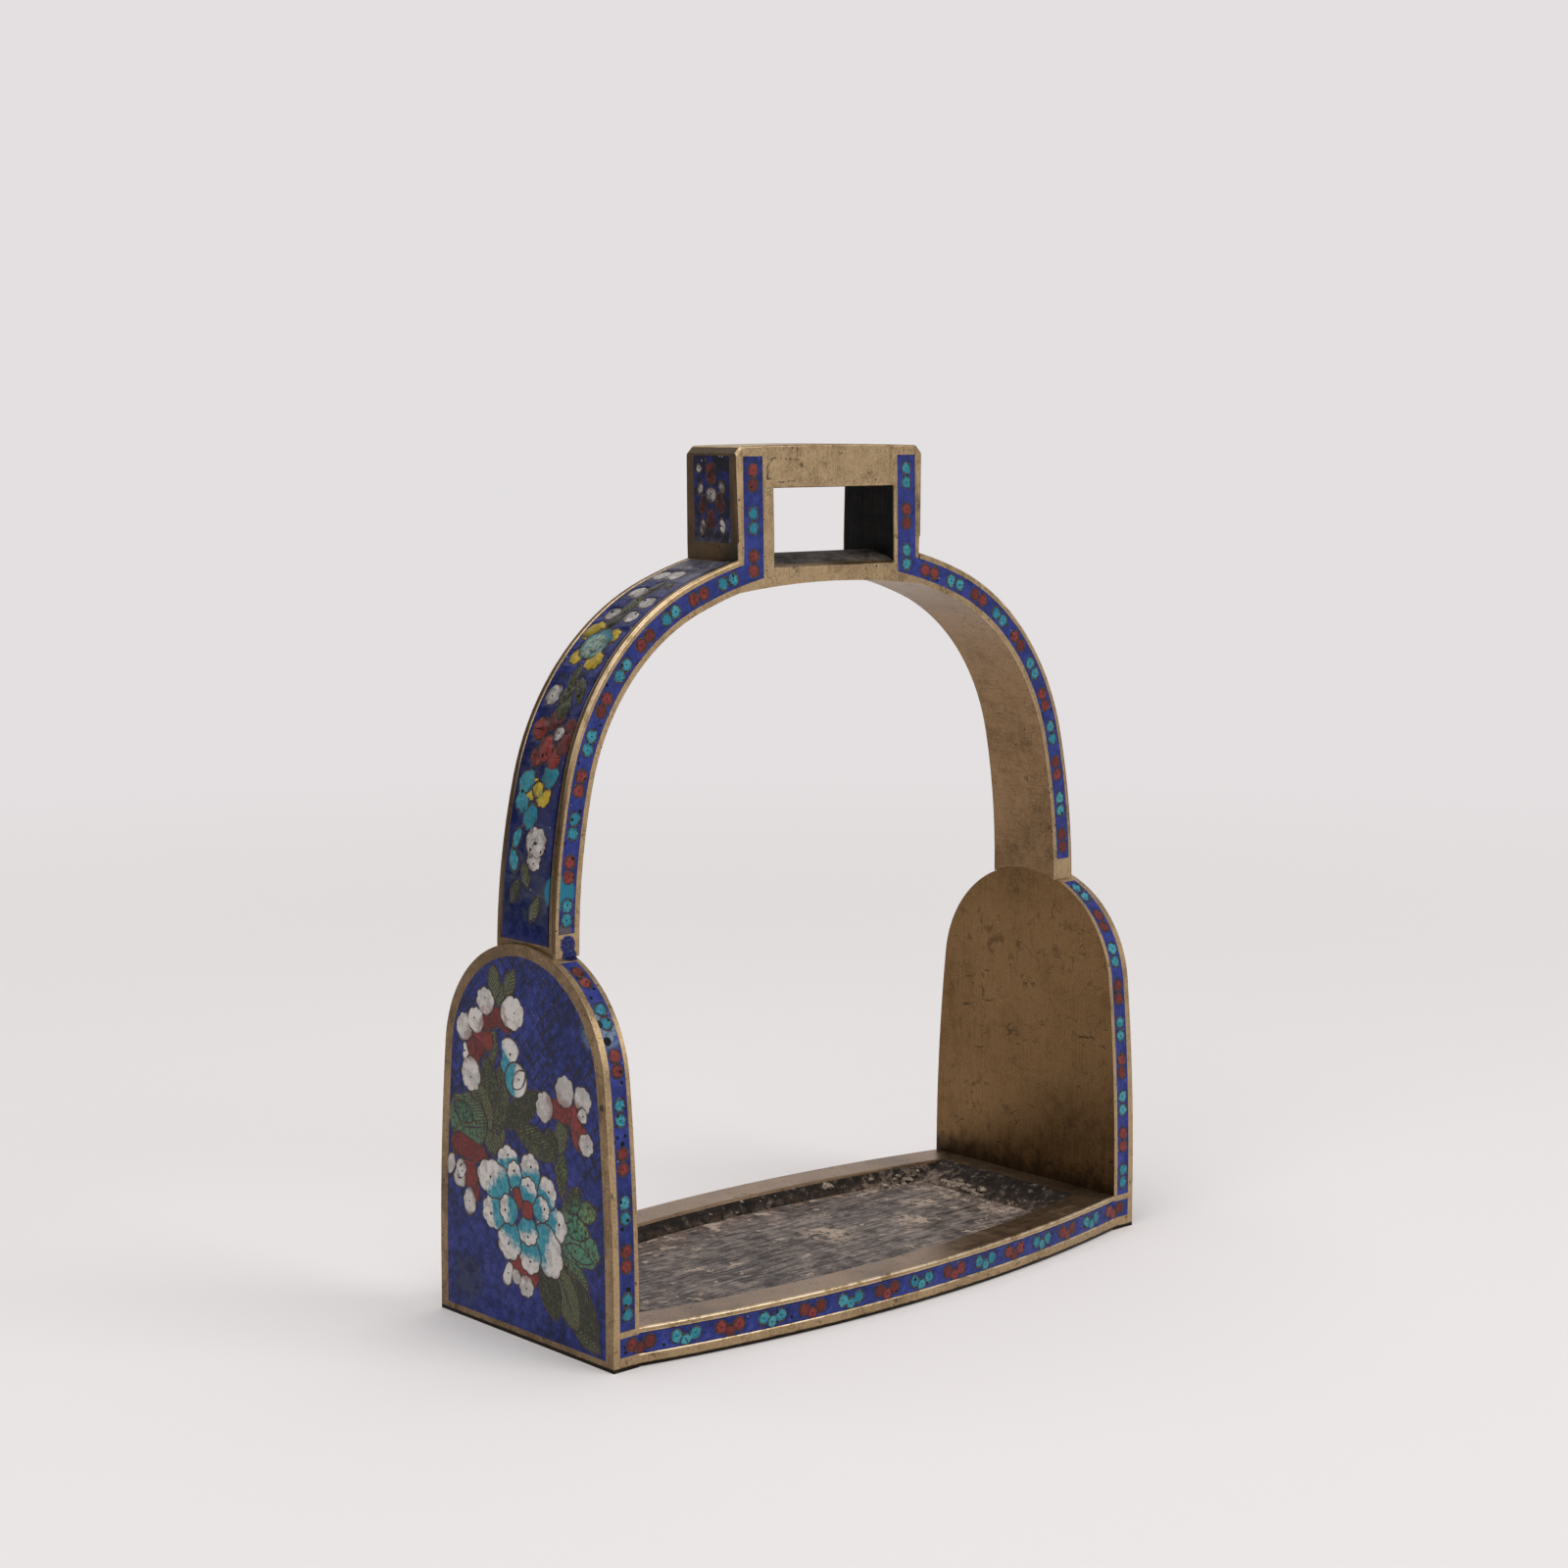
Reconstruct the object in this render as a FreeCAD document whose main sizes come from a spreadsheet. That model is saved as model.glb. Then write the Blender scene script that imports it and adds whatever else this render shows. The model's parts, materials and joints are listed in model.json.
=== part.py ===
import FreeCAD, Part
import math
import os
import Sketcher
from FreeCAD import Vector

# A stirrup of brass with enamel set into its outer faces, made as it comes apart:
# a bow on two side plates, a strap loop on the bow's crown, a foot plate between the
# side plates, and glass enamel with its wire cells let into shallow recesses.
# X runs along the foot plate, Y from the front edge to the back, Z up. The origin is
# the middle of the foot plate's underside.

# Driving dimensions in millimetres; the two angles are degrees from the vertical.
sizes = {
    "overall_height": 155.6,
    "foot_span": 133.6,
    "plate_thickness": 5.6,
    "plate_depth": 49.4,
    "plate_height": 70.2,
    "plate_straight_rise": 8.0,
    "plate_side_radius": 400.0,
    "foot_thickness": 7.0,
    "foot_middle_depth": 63.4,
    "recess_depth": 3.1,
    "recess_rim_middle": 7.3,
    "recess_rim_end": 6.4,
    "recess_end_gap": 4.9,
    "recess_end_slope": 7.7,
    "recess_side_slope": 1.6,
    "tread_thickness": 1.6,
    "tread_clearance": 0.1,
    "bow_rise": 138.0,
    "crown_radius": 92.6,
    "haunch_radius": 46.8,
    "leg_radius": 131.0,
    "haunch_start_angle": 21.7,
    "haunch_end_angle": 76.5,
    "bow_thickness": 5.7,
    "crown_underside_height": 130.7,
    "slot_floor_height": 133.5,
    "saddle_rise": 2.3,
    "leg_depth": 16.2,
    "crown_depth": 14.1,
    "loop_top_depth": 13.3,
    "loop_width_low": 45.4,
    "loop_width_top": 46.6,
    "loop_corner": 1.3,
    "loop_crown": 0.3,
    "slot_width": 30.2,
    "slot_height": 14.3,
    "slot_shift": 1.0,
    "enamel_depth": 1.0,
    "panel_border": 2.1,
    "panel_low_border": 1.7,
    "edge_outer_border": 1.4,
    "edge_inner_border": 0.9,
    "foot_strip_low": 2.4,
    "foot_strip_height": 3.4,
    "bar_height": 1.1,
    "leg_strip_gap": 1.2,
    "bow_strip_border": 1.15,
    "bow_strip_end_gap": 2.6,
    "bow_panel_border": 1.6,
    "bow_panel_end_gap": 0.5,
    "bow_panel_top_gap": 1.2,
    "post_strip_inset": 0.8,
    "post_strip_width": 4.7,
    "post_strip_top_gap": 2.1,
    "loop_panel_border": 1.8,
    "loop_panel_low_gap": 4.6,
    "loop_panel_top_gap": 1.7,
    "wire_width": 0.32,
    "blossom_petal": 2.1,
    "pair_spread": 2.6,
    "foot_pair_spread": 3.6,
    "plug_width": 1.2,
    "plug_depth": 2.0,
    "plug_height": 45.5,
}

doc = FreeCAD.newDocument("stirrup")
sheet = doc.addObject("Spreadsheet::Sheet", "Sizes")
for row, (alias, length) in enumerate(sizes.items(), start=1):
    sheet.set(f"A{row}", alias)
    sheet.set(f"B{row}", str(length))
    sheet.setAlias(f"B{row}", alias)
doc.recompute()


class Size:
    """A length that knows both its value and the sheet formula it comes from."""

    def __init__(self, value, text):
        self.value = value
        self.text = text

    def __add__(self, other):
        other = as_size(other)
        return Size(self.value + other.value, f"({self.text} + {other.text})")

    def __radd__(self, other):
        return as_size(other) + self

    def __sub__(self, other):
        other = as_size(other)
        return Size(self.value - other.value, f"({self.text} - {other.text})")

    def __rsub__(self, other):
        return as_size(other) - self

    def __mul__(self, other):
        other = as_size(other)
        return Size(self.value * other.value, f"({self.text} * {other.text})")

    def __rmul__(self, other):
        return as_size(other) * self

    def __truediv__(self, other):
        other = as_size(other)
        return Size(self.value / other.value, f"({self.text} / {other.text})")

    def __neg__(self):
        return Size(-self.value, f"(0 - {self.text})")


def as_size(number):
    if isinstance(number, Size):
        return number
    return Size(float(number), repr(float(number)))


def root(length):
    return Size(math.sqrt(length.value), f"sqrt({length.text})")


def sine(angle):
    return Size(math.sin(math.radians(angle.value)), f"sin({angle.text} * 1 deg)")


def cosine(angle):
    return Size(math.cos(math.radians(angle.value)), f"cos({angle.text} * 1 deg)")


def leg_of(long_side, short_side):
    """The third side of a right triangle."""
    return root(long_side * long_side - short_side * short_side)


named = {alias: Size(float(length), f"Sizes.{alias}") for alias, length in sizes.items()}
zero = as_size(0)

# Sizes that several pieces share.
half_span = named["foot_span"] / 2
plate_inner = half_span - named["plate_thickness"]
half_plate = named["plate_depth"] / 2
half_shoulder = named["loop_width_low"] / 2
half_loop_top = named["loop_width_top"] / 2
slot_left = named["slot_shift"] - named["slot_width"] / 2
slot_right = named["slot_shift"] + named["slot_width"] / 2
slot_top = named["slot_floor_height"] + named["slot_height"]
depth = named["enamel_depth"]


def make_body(label):
    body = doc.addObject("PartDesign::Body", label)
    body.Label = label
    return body


def arc_middle(start, end, radius, side):
    """The middle point of the short arc from start to end, bulging left (1) or right (-1)."""
    chord = end - start
    half = chord.Length / 2
    across = Vector(-chord.y, chord.x, 0).normalize() * side
    return (start + end) / 2 + across * (radius - math.sqrt(radius * radius - half * half))


def end_on(sketch, side, corner):
    near = (sketch.getPoint(side, 1) - corner).Length
    far = (sketch.getPoint(side, 2) - corner).Length
    return 1 if near < far else 2


def bind(sketch, constraint, name, length):
    place = sketch.addConstraint(constraint)
    sketch.renameConstraint(place, name)
    sketch.setExpression(f"Constraints.{name}", length.text)


def add_sketch(body, name, role, corners, arcs=None, shift=None):
    """A closed outline on one of the body's own planes, every corner tied to the sheet.

    arcs names the sides that are round: side number to (radius, 1 for left or -1 for right)."""
    arcs = arcs or {}
    plane = [part for part in body.Origin.OriginFeatures if part.Role == role][0]
    sketch = body.newObject("Sketcher::SketchObject", name)
    sketch.AttachmentSupport = [(plane, "")]
    sketch.MapMode = "FlatFace"
    if shift is not None:
        sketch.AttachmentOffset = FreeCAD.Placement(Vector(0, 0, shift.value), FreeCAD.Rotation())
        sketch.setExpression(".AttachmentOffset.Base.z", shift.text)
    points = [Vector(across.value, up.value, 0) for across, up in corners]
    count = len(points)
    for side in range(count):
        start = points[side]
        end = points[(side + 1) % count]
        if side in arcs:
            radius, bulge = arcs[side]
            middle = arc_middle(start, end, radius.value, bulge)
            sketch.addGeometry(Part.Arc(start, middle, end), False)
        else:
            sketch.addGeometry(Part.LineSegment(start, end), False)
    ends = [end_on(sketch, side, points[side]) for side in range(count)]
    for side in range(count):
        before = (side - 1) % count
        far_end = 3 - ends[before]
        sketch.addConstraint(Sketcher.Constraint("Coincident", before, far_end, side, ends[side]))
    for side, (across, up) in enumerate(corners):
        if across.value == 0:
            sketch.addConstraint(Sketcher.Constraint("PointOnObject", side, ends[side], -2))
        else:
            held = Sketcher.Constraint("DistanceX", -1, 1, side, ends[side], across.value)
            bind(sketch, held, f"across{side}", across)
        if up.value == 0:
            sketch.addConstraint(Sketcher.Constraint("PointOnObject", side, ends[side], -1))
        else:
            held = Sketcher.Constraint("DistanceY", -1, 1, side, ends[side], up.value)
            bind(sketch, held, f"up{side}", up)
    for side, (radius, bulge) in arcs.items():
        bind(sketch, Sketcher.Constraint("Radius", side, radius.value), f"radius{side}", radius)
    return sketch


def add_extrusion(body, kind, sketch, length, side_type, backwards):
    feature = body.newObject(kind, sketch.Name + "_feature")
    feature.Profile = sketch
    feature.SideType = side_type
    feature.Reversed = backwards
    feature.Length = length.value
    feature.setExpression("Length", length.text)
    return feature


def pad(body, sketch, length, side_type="One side", backwards=False):
    return add_extrusion(body, "PartDesign::Pad", sketch, length, side_type, backwards)


def pocket(body, sketch, length, side_type="One side", backwards=False):
    return add_extrusion(body, "PartDesign::Pocket", sketch, length, side_type, backwards)


def common(label, first, second):
    result = doc.addObject("Part::Common", label)
    result.Label = label
    result.Base = first
    result.Tool = second
    return result


def cut(label, first, second):
    result = doc.addObject("Part::Cut", label)
    result.Label = label
    result.Base = first
    result.Tool = second
    return result


def bundle(label, pieces):
    result = doc.addObject("Part::Compound", label)
    result.Label = label
    result.Links = pieces
    return result


# Outline of a side plate, in Y and Z: upright edges, long side arcs and a round head.
# The side arc's end angle follows from the plate's height, because both arcs meet tangent.
side_radius = named["plate_side_radius"]
side_centre = half_plate - side_radius
ratio = (side_radius + named["plate_straight_rise"] - named["plate_height"]) / (side_radius - half_plate)
# tan of half the angle left to the vertical is the ratio, so sine and cosine follow from it.
head_sine = (1 - ratio * ratio) / (1 + ratio * ratio)
head_cosine = 2 * ratio / (1 + ratio * ratio)
head_radius = side_radius + side_centre / head_cosine
head_centre = named["plate_straight_rise"] - side_centre * head_sine / head_cosine


def head_join(inset):
    """The corner where side arc and head arc meet, on an outline moved in by the inset."""
    across = (head_radius - inset) * head_cosine
    up = head_centre + (head_radius - inset) * head_sine
    return across, up


def plate_outline(inset, low):
    """Corners and arcs of the plate's outline, moved in by the inset, standing on the low line."""
    across = half_plate - inset
    rise = named["plate_straight_rise"]
    join_across, join_up = head_join(inset)
    corners = [
        (-across, low),
        (across, low),
        (across, rise),
        (join_across, join_up),
        (-join_across, join_up),
        (-across, rise),
    ]
    arcs = {
        2: (side_radius - inset, -1),
        3: (head_radius - inset, -1),
        4: (side_radius - inset, -1),
    }
    return corners, arcs


def make_plate_blank(side, name):
    body = make_body(f"{name}_plate_body")
    corners, arcs = plate_outline(zero, zero)
    start = -half_span if side < 0 else plate_inner
    sketch = add_sketch(body, f"{name}_plate_outline", "YZ_Plane", corners, arcs, start)
    pad(body, sketch, named["plate_thickness"])
    return body


def make_plate_panel(side, name):
    body = make_body(f"{name}_plate_panel")
    corners, arcs = plate_outline(named["panel_border"], named["panel_low_border"])
    start = -half_span if side < 0 else half_span - depth
    sketch = add_sketch(body, f"{name}_panel_outline", "YZ_Plane", corners, arcs, start)
    pad(body, sketch, depth)
    return body


edge_strip_width = named["plate_thickness"] - named["edge_outer_border"] - named["edge_inner_border"]
edge_strip_low = named["foot_strip_low"] + named["foot_strip_height"] + named["bar_height"]
leg_strip_across = named["leg_depth"] / 2 + named["leg_strip_gap"]


def make_plate_strip(side, facing, name):
    """Enamel along a side plate's edge, from the foot strip up and over to the bow's leg."""
    body = make_body(f"{name}_plate_strip")
    rise = named["plate_straight_rise"]
    outer_across, outer_up = head_join(zero)
    inner_across, inner_up = head_join(depth)
    corners = [
        (facing * half_plate, edge_strip_low),
        (facing * half_plate, rise),
        (facing * outer_across, outer_up),
        (facing * leg_strip_across, head_centre + leg_of(head_radius, leg_strip_across)),
        (facing * leg_strip_across, head_centre + leg_of(head_radius - depth, leg_strip_across)),
        (facing * inner_across, inner_up),
        (facing * (half_plate - depth), rise),
        (facing * (half_plate - depth), edge_strip_low),
    ]
    arcs = {
        1: (side_radius, -facing),
        2: (head_radius, -facing),
        4: (head_radius - depth, facing),
        5: (side_radius - depth, facing),
    }
    outer_start = half_span - named["edge_outer_border"]
    start = -outer_start if side < 0 else outer_start - edge_strip_width
    sketch = add_sketch(body, f"{name}_strip_outline", "YZ_Plane", corners, arcs, start)
    pad(body, sketch, edge_strip_width)
    return body


# Foot plate: its front and back edges are arcs between the side plates.
def arc_radius(half_chord, bulge):
    return (half_chord * half_chord + bulge * bulge) / (2 * bulge)


foot_bulge = named["foot_middle_depth"] / 2 - half_plate


def lens_outline(half_length, half_end, half_middle):
    corners = [
        (-half_length, -half_end),
        (half_length, -half_end),
        (half_length, half_end),
        (-half_length, half_end),
    ]
    radius = arc_radius(half_length, half_middle - half_end)
    return corners, {0: (radius, -1), 2: (radius, -1)}


recess_half_length = plate_inner - named["recess_end_gap"]
recess_half_end = half_plate - named["recess_rim_end"]
recess_half_middle = named["foot_middle_depth"] / 2 - named["recess_rim_middle"]
floor_half_length = recess_half_length - named["recess_end_slope"]
floor_half_end = recess_half_end - named["recess_side_slope"]
floor_half_middle = recess_half_middle - named["recess_side_slope"]
floor_height = named["foot_thickness"] - named["recess_depth"]


def make_foot_body():
    body = make_body("foot_plate_body")
    half_middle = named["foot_middle_depth"] / 2
    corners, arcs = lens_outline(plate_inner, half_plate, half_middle)
    sketch = add_sketch(body, "foot_outline", "XY_Plane", corners, arcs)
    pad(body, sketch, named["foot_thickness"])
    corners, arcs = lens_outline(recess_half_length, recess_half_end, recess_half_middle)
    mouth = add_sketch(body, "recess_mouth", "XY_Plane", corners, arcs, named["foot_thickness"])
    corners, arcs = lens_outline(floor_half_length, floor_half_end, floor_half_middle)
    floor = add_sketch(body, "recess_floor", "XY_Plane", corners, arcs, floor_height)
    recess = body.newObject("PartDesign::SubtractiveLoft", "recess")
    recess.Profile = mouth
    recess.Sections = [floor]
    recess.Ruled = True
    seat = add_sketch(body, "tread_seat", "XY_Plane", corners, arcs, floor_height)
    pocket(body, seat, named["tread_thickness"])
    return body


def make_tread_plate():
    body = make_body("tread_plate")
    gap = named["tread_clearance"]
    corners, arcs = lens_outline(floor_half_length - gap, floor_half_end - gap, floor_half_middle - gap)
    start = floor_height - named["tread_thickness"]
    sketch = add_sketch(body, "tread_outline", "XY_Plane", corners, arcs, start)
    pad(body, sketch, named["tread_thickness"])
    return body


def make_foot_strip(facing, name):
    """Enamel along one long edge of the foot plate and across both side plates' edges."""
    body = make_body(f"{name}_foot_strip")
    end = half_span - named["edge_outer_border"]
    middle_radius = arc_radius(plate_inner, foot_bulge)
    corners = [
        (-end, facing * half_plate),
        (-plate_inner, facing * half_plate),
        (plate_inner, facing * half_plate),
        (end, facing * half_plate),
        (end, facing * (half_plate - depth)),
        (plate_inner, facing * (half_plate - depth)),
        (-plate_inner, facing * (half_plate - depth)),
        (-end, facing * (half_plate - depth)),
    ]
    arcs = {1: (middle_radius, facing), 5: (middle_radius, -facing)}
    sketch = add_sketch(body, f"{name}_foot_strip_plan", "XY_Plane", corners, arcs, named["foot_strip_low"])
    pad(body, sketch, named["foot_strip_height"])
    return body


# Bow profile in X and Z: a crown arc, a tighter haunch arc and a long leg arc, tangent to each other.
start_angle = named["haunch_start_angle"]
end_angle = named["haunch_end_angle"]
crown_centre = (zero, named["bow_rise"] - named["crown_radius"])
crown_joint = (
    named["crown_radius"] * sine(start_angle),
    crown_centre[1] + named["crown_radius"] * cosine(start_angle),
)
haunch_centre = (
    crown_joint[0] - named["haunch_radius"] * sine(start_angle),
    crown_joint[1] - named["haunch_radius"] * cosine(start_angle),
)
leg_joint = (
    haunch_centre[0] + named["haunch_radius"] * sine(end_angle),
    haunch_centre[1] + named["haunch_radius"] * cosine(end_angle),
)
leg_centre = (
    leg_joint[0] - named["leg_radius"] * sine(end_angle),
    leg_joint[1] - named["leg_radius"] * cosine(end_angle),
)


def crown_point(across, inset):
    return across, crown_centre[1] + leg_of(named["crown_radius"] - inset, across)


def leg_point(up, inset):
    return leg_centre[0] + leg_of(named["leg_radius"] - inset, up - leg_centre[1]), up


def joint_point(centre, radius, angle, inset):
    return centre[0] + (radius - inset) * sine(angle), centre[1] + (radius - inset) * cosine(angle)


def bow_joints(inset):
    """The two corners where the three arcs meet, on a profile moved in by the inset."""
    upper = joint_point(crown_centre, named["crown_radius"], start_angle, inset)
    lower = joint_point(leg_centre, named["leg_radius"], end_angle, inset)
    return upper, lower


def mirrored(point):
    return -point[0], point[1]


leg_low = named["plate_height"] - named["leg_depth"]


def make_bow_body():
    body = make_body("bow_body")
    outer_upper, outer_lower = bow_joints(zero)
    thick = named["bow_thickness"]
    inner_upper, inner_lower = bow_joints(thick)
    shoulder = crown_point(half_shoulder, zero)
    under = crown_point(half_shoulder, thick)
    right_side = [
        (half_shoulder, named["slot_floor_height"]),
        shoulder,
        outer_upper,
        outer_lower,
        leg_point(leg_low, zero),
        leg_point(leg_low, thick),
        inner_lower,
        inner_upper,
        under,
    ]
    corners = right_side + [mirrored(point) for point in reversed(right_side)]
    under_radius = arc_radius(half_shoulder, named["crown_underside_height"] - under[1])
    crown = named["crown_radius"]
    haunch = named["haunch_radius"]
    leg = named["leg_radius"]
    arcs = {
        1: (crown, 1),
        2: (haunch, 1),
        3: (leg, 1),
        5: (leg - thick, -1),
        6: (haunch - thick, -1),
        7: (crown - thick, -1),
        8: (under_radius, -1),
        9: (crown - thick, -1),
        10: (haunch - thick, -1),
        11: (leg - thick, -1),
        13: (leg, 1),
        14: (haunch, 1),
        15: (crown, 1),
    }
    profile = add_sketch(body, "bow_profile", "XZ_Plane", corners, arcs)
    pad(body, profile, named["leg_depth"], "Symmetric")
    half_crown = named["crown_depth"] / 2
    floor = named["slot_floor_height"]
    saddle_radius = arc_radius(half_crown, named["saddle_rise"])
    saddle = add_sketch(
        body,
        "saddle_section",
        "YZ_Plane",
        [(-half_crown, floor), (half_crown, floor)],
        {1: (saddle_radius, -1)},
        slot_left,
    )
    pad(body, saddle, named["slot_width"])
    corners, arcs = plate_outline(zero, zero)
    seat = add_sketch(body, "leg_seat", "YZ_Plane", corners, arcs)
    pocket(body, seat, named["foot_span"], "Symmetric")
    return body


# Half depth of bow and loop at a height: widest at the leg's foot, narrowest at the loop's top.
def depth_outline(inset):
    lowest = (named["leg_depth"] / 2 - inset, leg_low)
    foot = (named["leg_depth"] / 2 - inset, named["plate_height"])
    crown = (named["crown_depth"] / 2 - inset, named["bow_rise"])
    top = (named["loop_top_depth"] / 2 - inset, named["overall_height"] + named["loop_crown"])
    right = [lowest, foot, crown, top]
    return right + [mirrored(point) for point in reversed(right)]


def make_depth_body(name, inset):
    body = make_body(name)
    sketch = add_sketch(body, f"{name}_section", "YZ_Plane", depth_outline(inset))
    pad(body, sketch, named["foot_span"], "Symmetric")
    return body


def make_loop_body():
    body = make_body("loop_body")
    corner = named["loop_corner"]
    side_top = named["overall_height"] - named["loop_crown"]
    lean = (half_loop_top - half_shoulder) / (side_top - named["slot_floor_height"])
    corner_across = half_loop_top - lean * corner
    outer = [
        (half_shoulder, named["slot_floor_height"]),
        (corner_across, side_top - corner),
        (half_loop_top - corner, side_top),
    ]
    slot = [
        (slot_left, named["slot_floor_height"]),
        (slot_left, slot_top),
        (slot_right, slot_top),
        (slot_right, named["slot_floor_height"]),
    ]
    corners = outer + [mirrored(point) for point in reversed(outer)] + slot
    top_radius = arc_radius(half_loop_top - corner, named["loop_crown"])
    profile = add_sketch(body, "loop_profile", "XZ_Plane", corners, {2: (top_radius, -1)})
    pad(body, profile, named["crown_depth"], "Symmetric")
    return body


post_strip_inner = slot_right + named["post_strip_inset"]
post_strip_outer = post_strip_inner + named["post_strip_width"]
post_strip_top = named["overall_height"] - named["post_strip_top_gap"]
leg_strip_low = named["plate_height"] + named["bow_strip_end_gap"]


def make_bow_strip(side, facing, name):
    """Enamel down a post of the loop and along the bow's edge to the leg's foot, in one L."""
    body = make_body(f"{name}_bow_strip_profile")
    high = named["bow_strip_border"]
    low = named["bow_thickness"] - named["bow_strip_border"]
    outer_upper, outer_lower = bow_joints(high)
    inner_upper, inner_lower = bow_joints(low)
    points = [
        (post_strip_inner, post_strip_top),
        (post_strip_outer, post_strip_top),
        crown_point(post_strip_outer, high),
        outer_upper,
        outer_lower,
        leg_point(leg_strip_low, high),
        leg_point(leg_strip_low, low),
        inner_lower,
        inner_upper,
        crown_point(post_strip_inner, low),
    ]
    corners = [(side * across, up) for across, up in points]
    arcs = {
        2: (named["crown_radius"] - high, side),
        3: (named["haunch_radius"] - high, side),
        4: (named["leg_radius"] - high, side),
        6: (named["leg_radius"] - low, -side),
        7: (named["haunch_radius"] - low, -side),
        8: (named["crown_radius"] - low, -side),
    }
    sketch = add_sketch(body, f"{name}_bow_strip_outline", "XZ_Plane", corners, arcs)
    pad(body, sketch, named["leg_depth"], "One side", backwards=facing > 0)
    return body


def make_bow_panel(side, name):
    """Enamel on the outer curve of one half of the bow."""
    body = make_body(f"{name}_bow_panel_profile")
    outer_upper, outer_lower = bow_joints(zero)
    inner_upper, inner_lower = bow_joints(depth)
    top_across = half_shoulder + named["bow_panel_top_gap"]
    low = named["plate_height"] + named["bow_panel_end_gap"]
    points = [
        crown_point(top_across, zero),
        outer_upper,
        outer_lower,
        leg_point(low, zero),
        leg_point(low, depth),
        inner_lower,
        inner_upper,
        crown_point(top_across, depth),
    ]
    corners = [(side * across, up) for across, up in points]
    arcs = {
        0: (named["crown_radius"], side),
        1: (named["haunch_radius"], side),
        2: (named["leg_radius"], side),
        4: (named["leg_radius"] - depth, -side),
        5: (named["haunch_radius"] - depth, -side),
        6: (named["crown_radius"] - depth, -side),
    }
    sketch = add_sketch(body, f"{name}_bow_panel_outline", "XZ_Plane", corners, arcs)
    pad(body, sketch, named["leg_depth"], "Symmetric")
    return body


loop_side_top = named["overall_height"] - named["loop_crown"]
loop_lean = (half_loop_top - half_shoulder) / (loop_side_top - named["slot_floor_height"])
loop_panel_low = named["slot_floor_height"] + named["loop_panel_low_gap"]
loop_panel_high = loop_side_top - named["loop_panel_top_gap"]
loop_panel_depth = named["loop_top_depth"] - 2 * named["loop_panel_border"]


def loop_side_at(up):
    return half_shoulder + loop_lean * (up - named["slot_floor_height"])


def make_loop_panel(side, name):
    body = make_body(f"{name}_loop_panel")
    corners = [
        (side * loop_side_at(loop_panel_low), loop_panel_low),
        (side * loop_side_at(loop_panel_high), loop_panel_high),
        (side * (loop_side_at(loop_panel_high) - depth), loop_panel_high),
        (side * (loop_side_at(loop_panel_low) - depth), loop_panel_low),
    ]
    sketch = add_sketch(body, f"{name}_loop_panel_outline", "XZ_Plane", corners)
    pad(body, sketch, loop_panel_depth, "Symmetric")
    return body


# The blanks: every enamel recess as the solid that fills it.
side_names = {-1: "left", 1: "right"}
facing_names = {-1: "front", 1: "back"}

depth_body = make_depth_body("depth_body", zero)
core_body = make_depth_body("core_body", depth)
border_body = make_depth_body("border_body", named["bow_panel_border"])
rim_body = cut("rim_body", depth_body, core_body)

blanks = {}
for side, side_name in side_names.items():
    blanks[side_name, "plate"] = make_plate_panel(side, side_name)
    profile = make_bow_panel(side, side_name)
    blanks[side_name, "bow"] = common(f"{side_name}_bow_panel", profile, border_body)
    blanks[side_name, "loop"] = make_loop_panel(side, side_name)
    for facing, facing_name in facing_names.items():
        corner_name = f"{facing_name}_{side_name}"
        profile = make_bow_strip(side, facing, corner_name)
        blanks[corner_name, "bow"] = common(f"{corner_name}_bow_strip", profile, rim_body)
        blanks[corner_name, "plate"] = make_plate_strip(side, facing, corner_name)
for facing, facing_name in facing_names.items():
    blanks[facing_name, "foot"] = make_foot_strip(facing, facing_name)

# The brass pieces, each with its recesses cut.
foot_blanks = [blanks["front", "foot"], blanks["back", "foot"]]
plug_rise = named["plug_height"] - named["plate_straight_rise"]
plug_across = named["panel_border"] / 2 - side_centre - leg_of(side_radius, plug_rise)


def make_plug():
    plug = doc.addObject("Part::Cylinder", "border_plug")
    plug.Label = "border_plug"
    plug.setExpression("Radius", (named["plug_width"] / 2).text)
    plug.setExpression("Height", named["plug_depth"].text)
    turn = FreeCAD.Rotation(Vector(0, 1, 0), 90)
    place = Vector(-half_span.value, plug_across.value, named["plug_height"].value)
    plug.Placement = FreeCAD.Placement(place, turn)
    plug.setExpression(".Placement.Base.x", (-half_span).text)
    plug.setExpression(".Placement.Base.y", plug_across.text)
    plug.setExpression(".Placement.Base.z", named["plug_height"].text)
    return plug


border_plug = make_plug()
subparts = [border_plug]
for side, side_name in side_names.items():
    recesses = [
        blanks[side_name, "plate"],
        blanks[f"front_{side_name}", "plate"],
        blanks[f"back_{side_name}", "plate"],
    ]
    if side < 0:
        recesses.append(border_plug)
    tool = bundle(f"{side_name}_plate_recesses", recesses + foot_blanks)
    subparts.append(cut(f"{side_name}_side_plate", make_plate_blank(side, side_name), tool))

corner_names = [f"{facing}_{side}" for facing in ("front", "back") for side in ("left", "right")]
bow_strips = [blanks[corner_name, "bow"] for corner_name in corner_names]
bow_tool = bundle("bow_recesses", bow_strips + [blanks["left", "bow"], blanks["right", "bow"]])
subparts.append(cut("bow", common("bow_shape", make_bow_body(), depth_body), bow_tool))
loop_tool = bundle("loop_recesses", bow_strips + [blanks["left", "loop"], blanks["right", "loop"]])
subparts.append(cut("strap_loop", common("loop_shape", make_loop_body(), depth_body), loop_tool))
subparts.append(cut("foot_plate", make_foot_body(), bundle("foot_recesses", foot_blanks)))
subparts.append(make_tread_plate())
doc.recompute()


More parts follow.
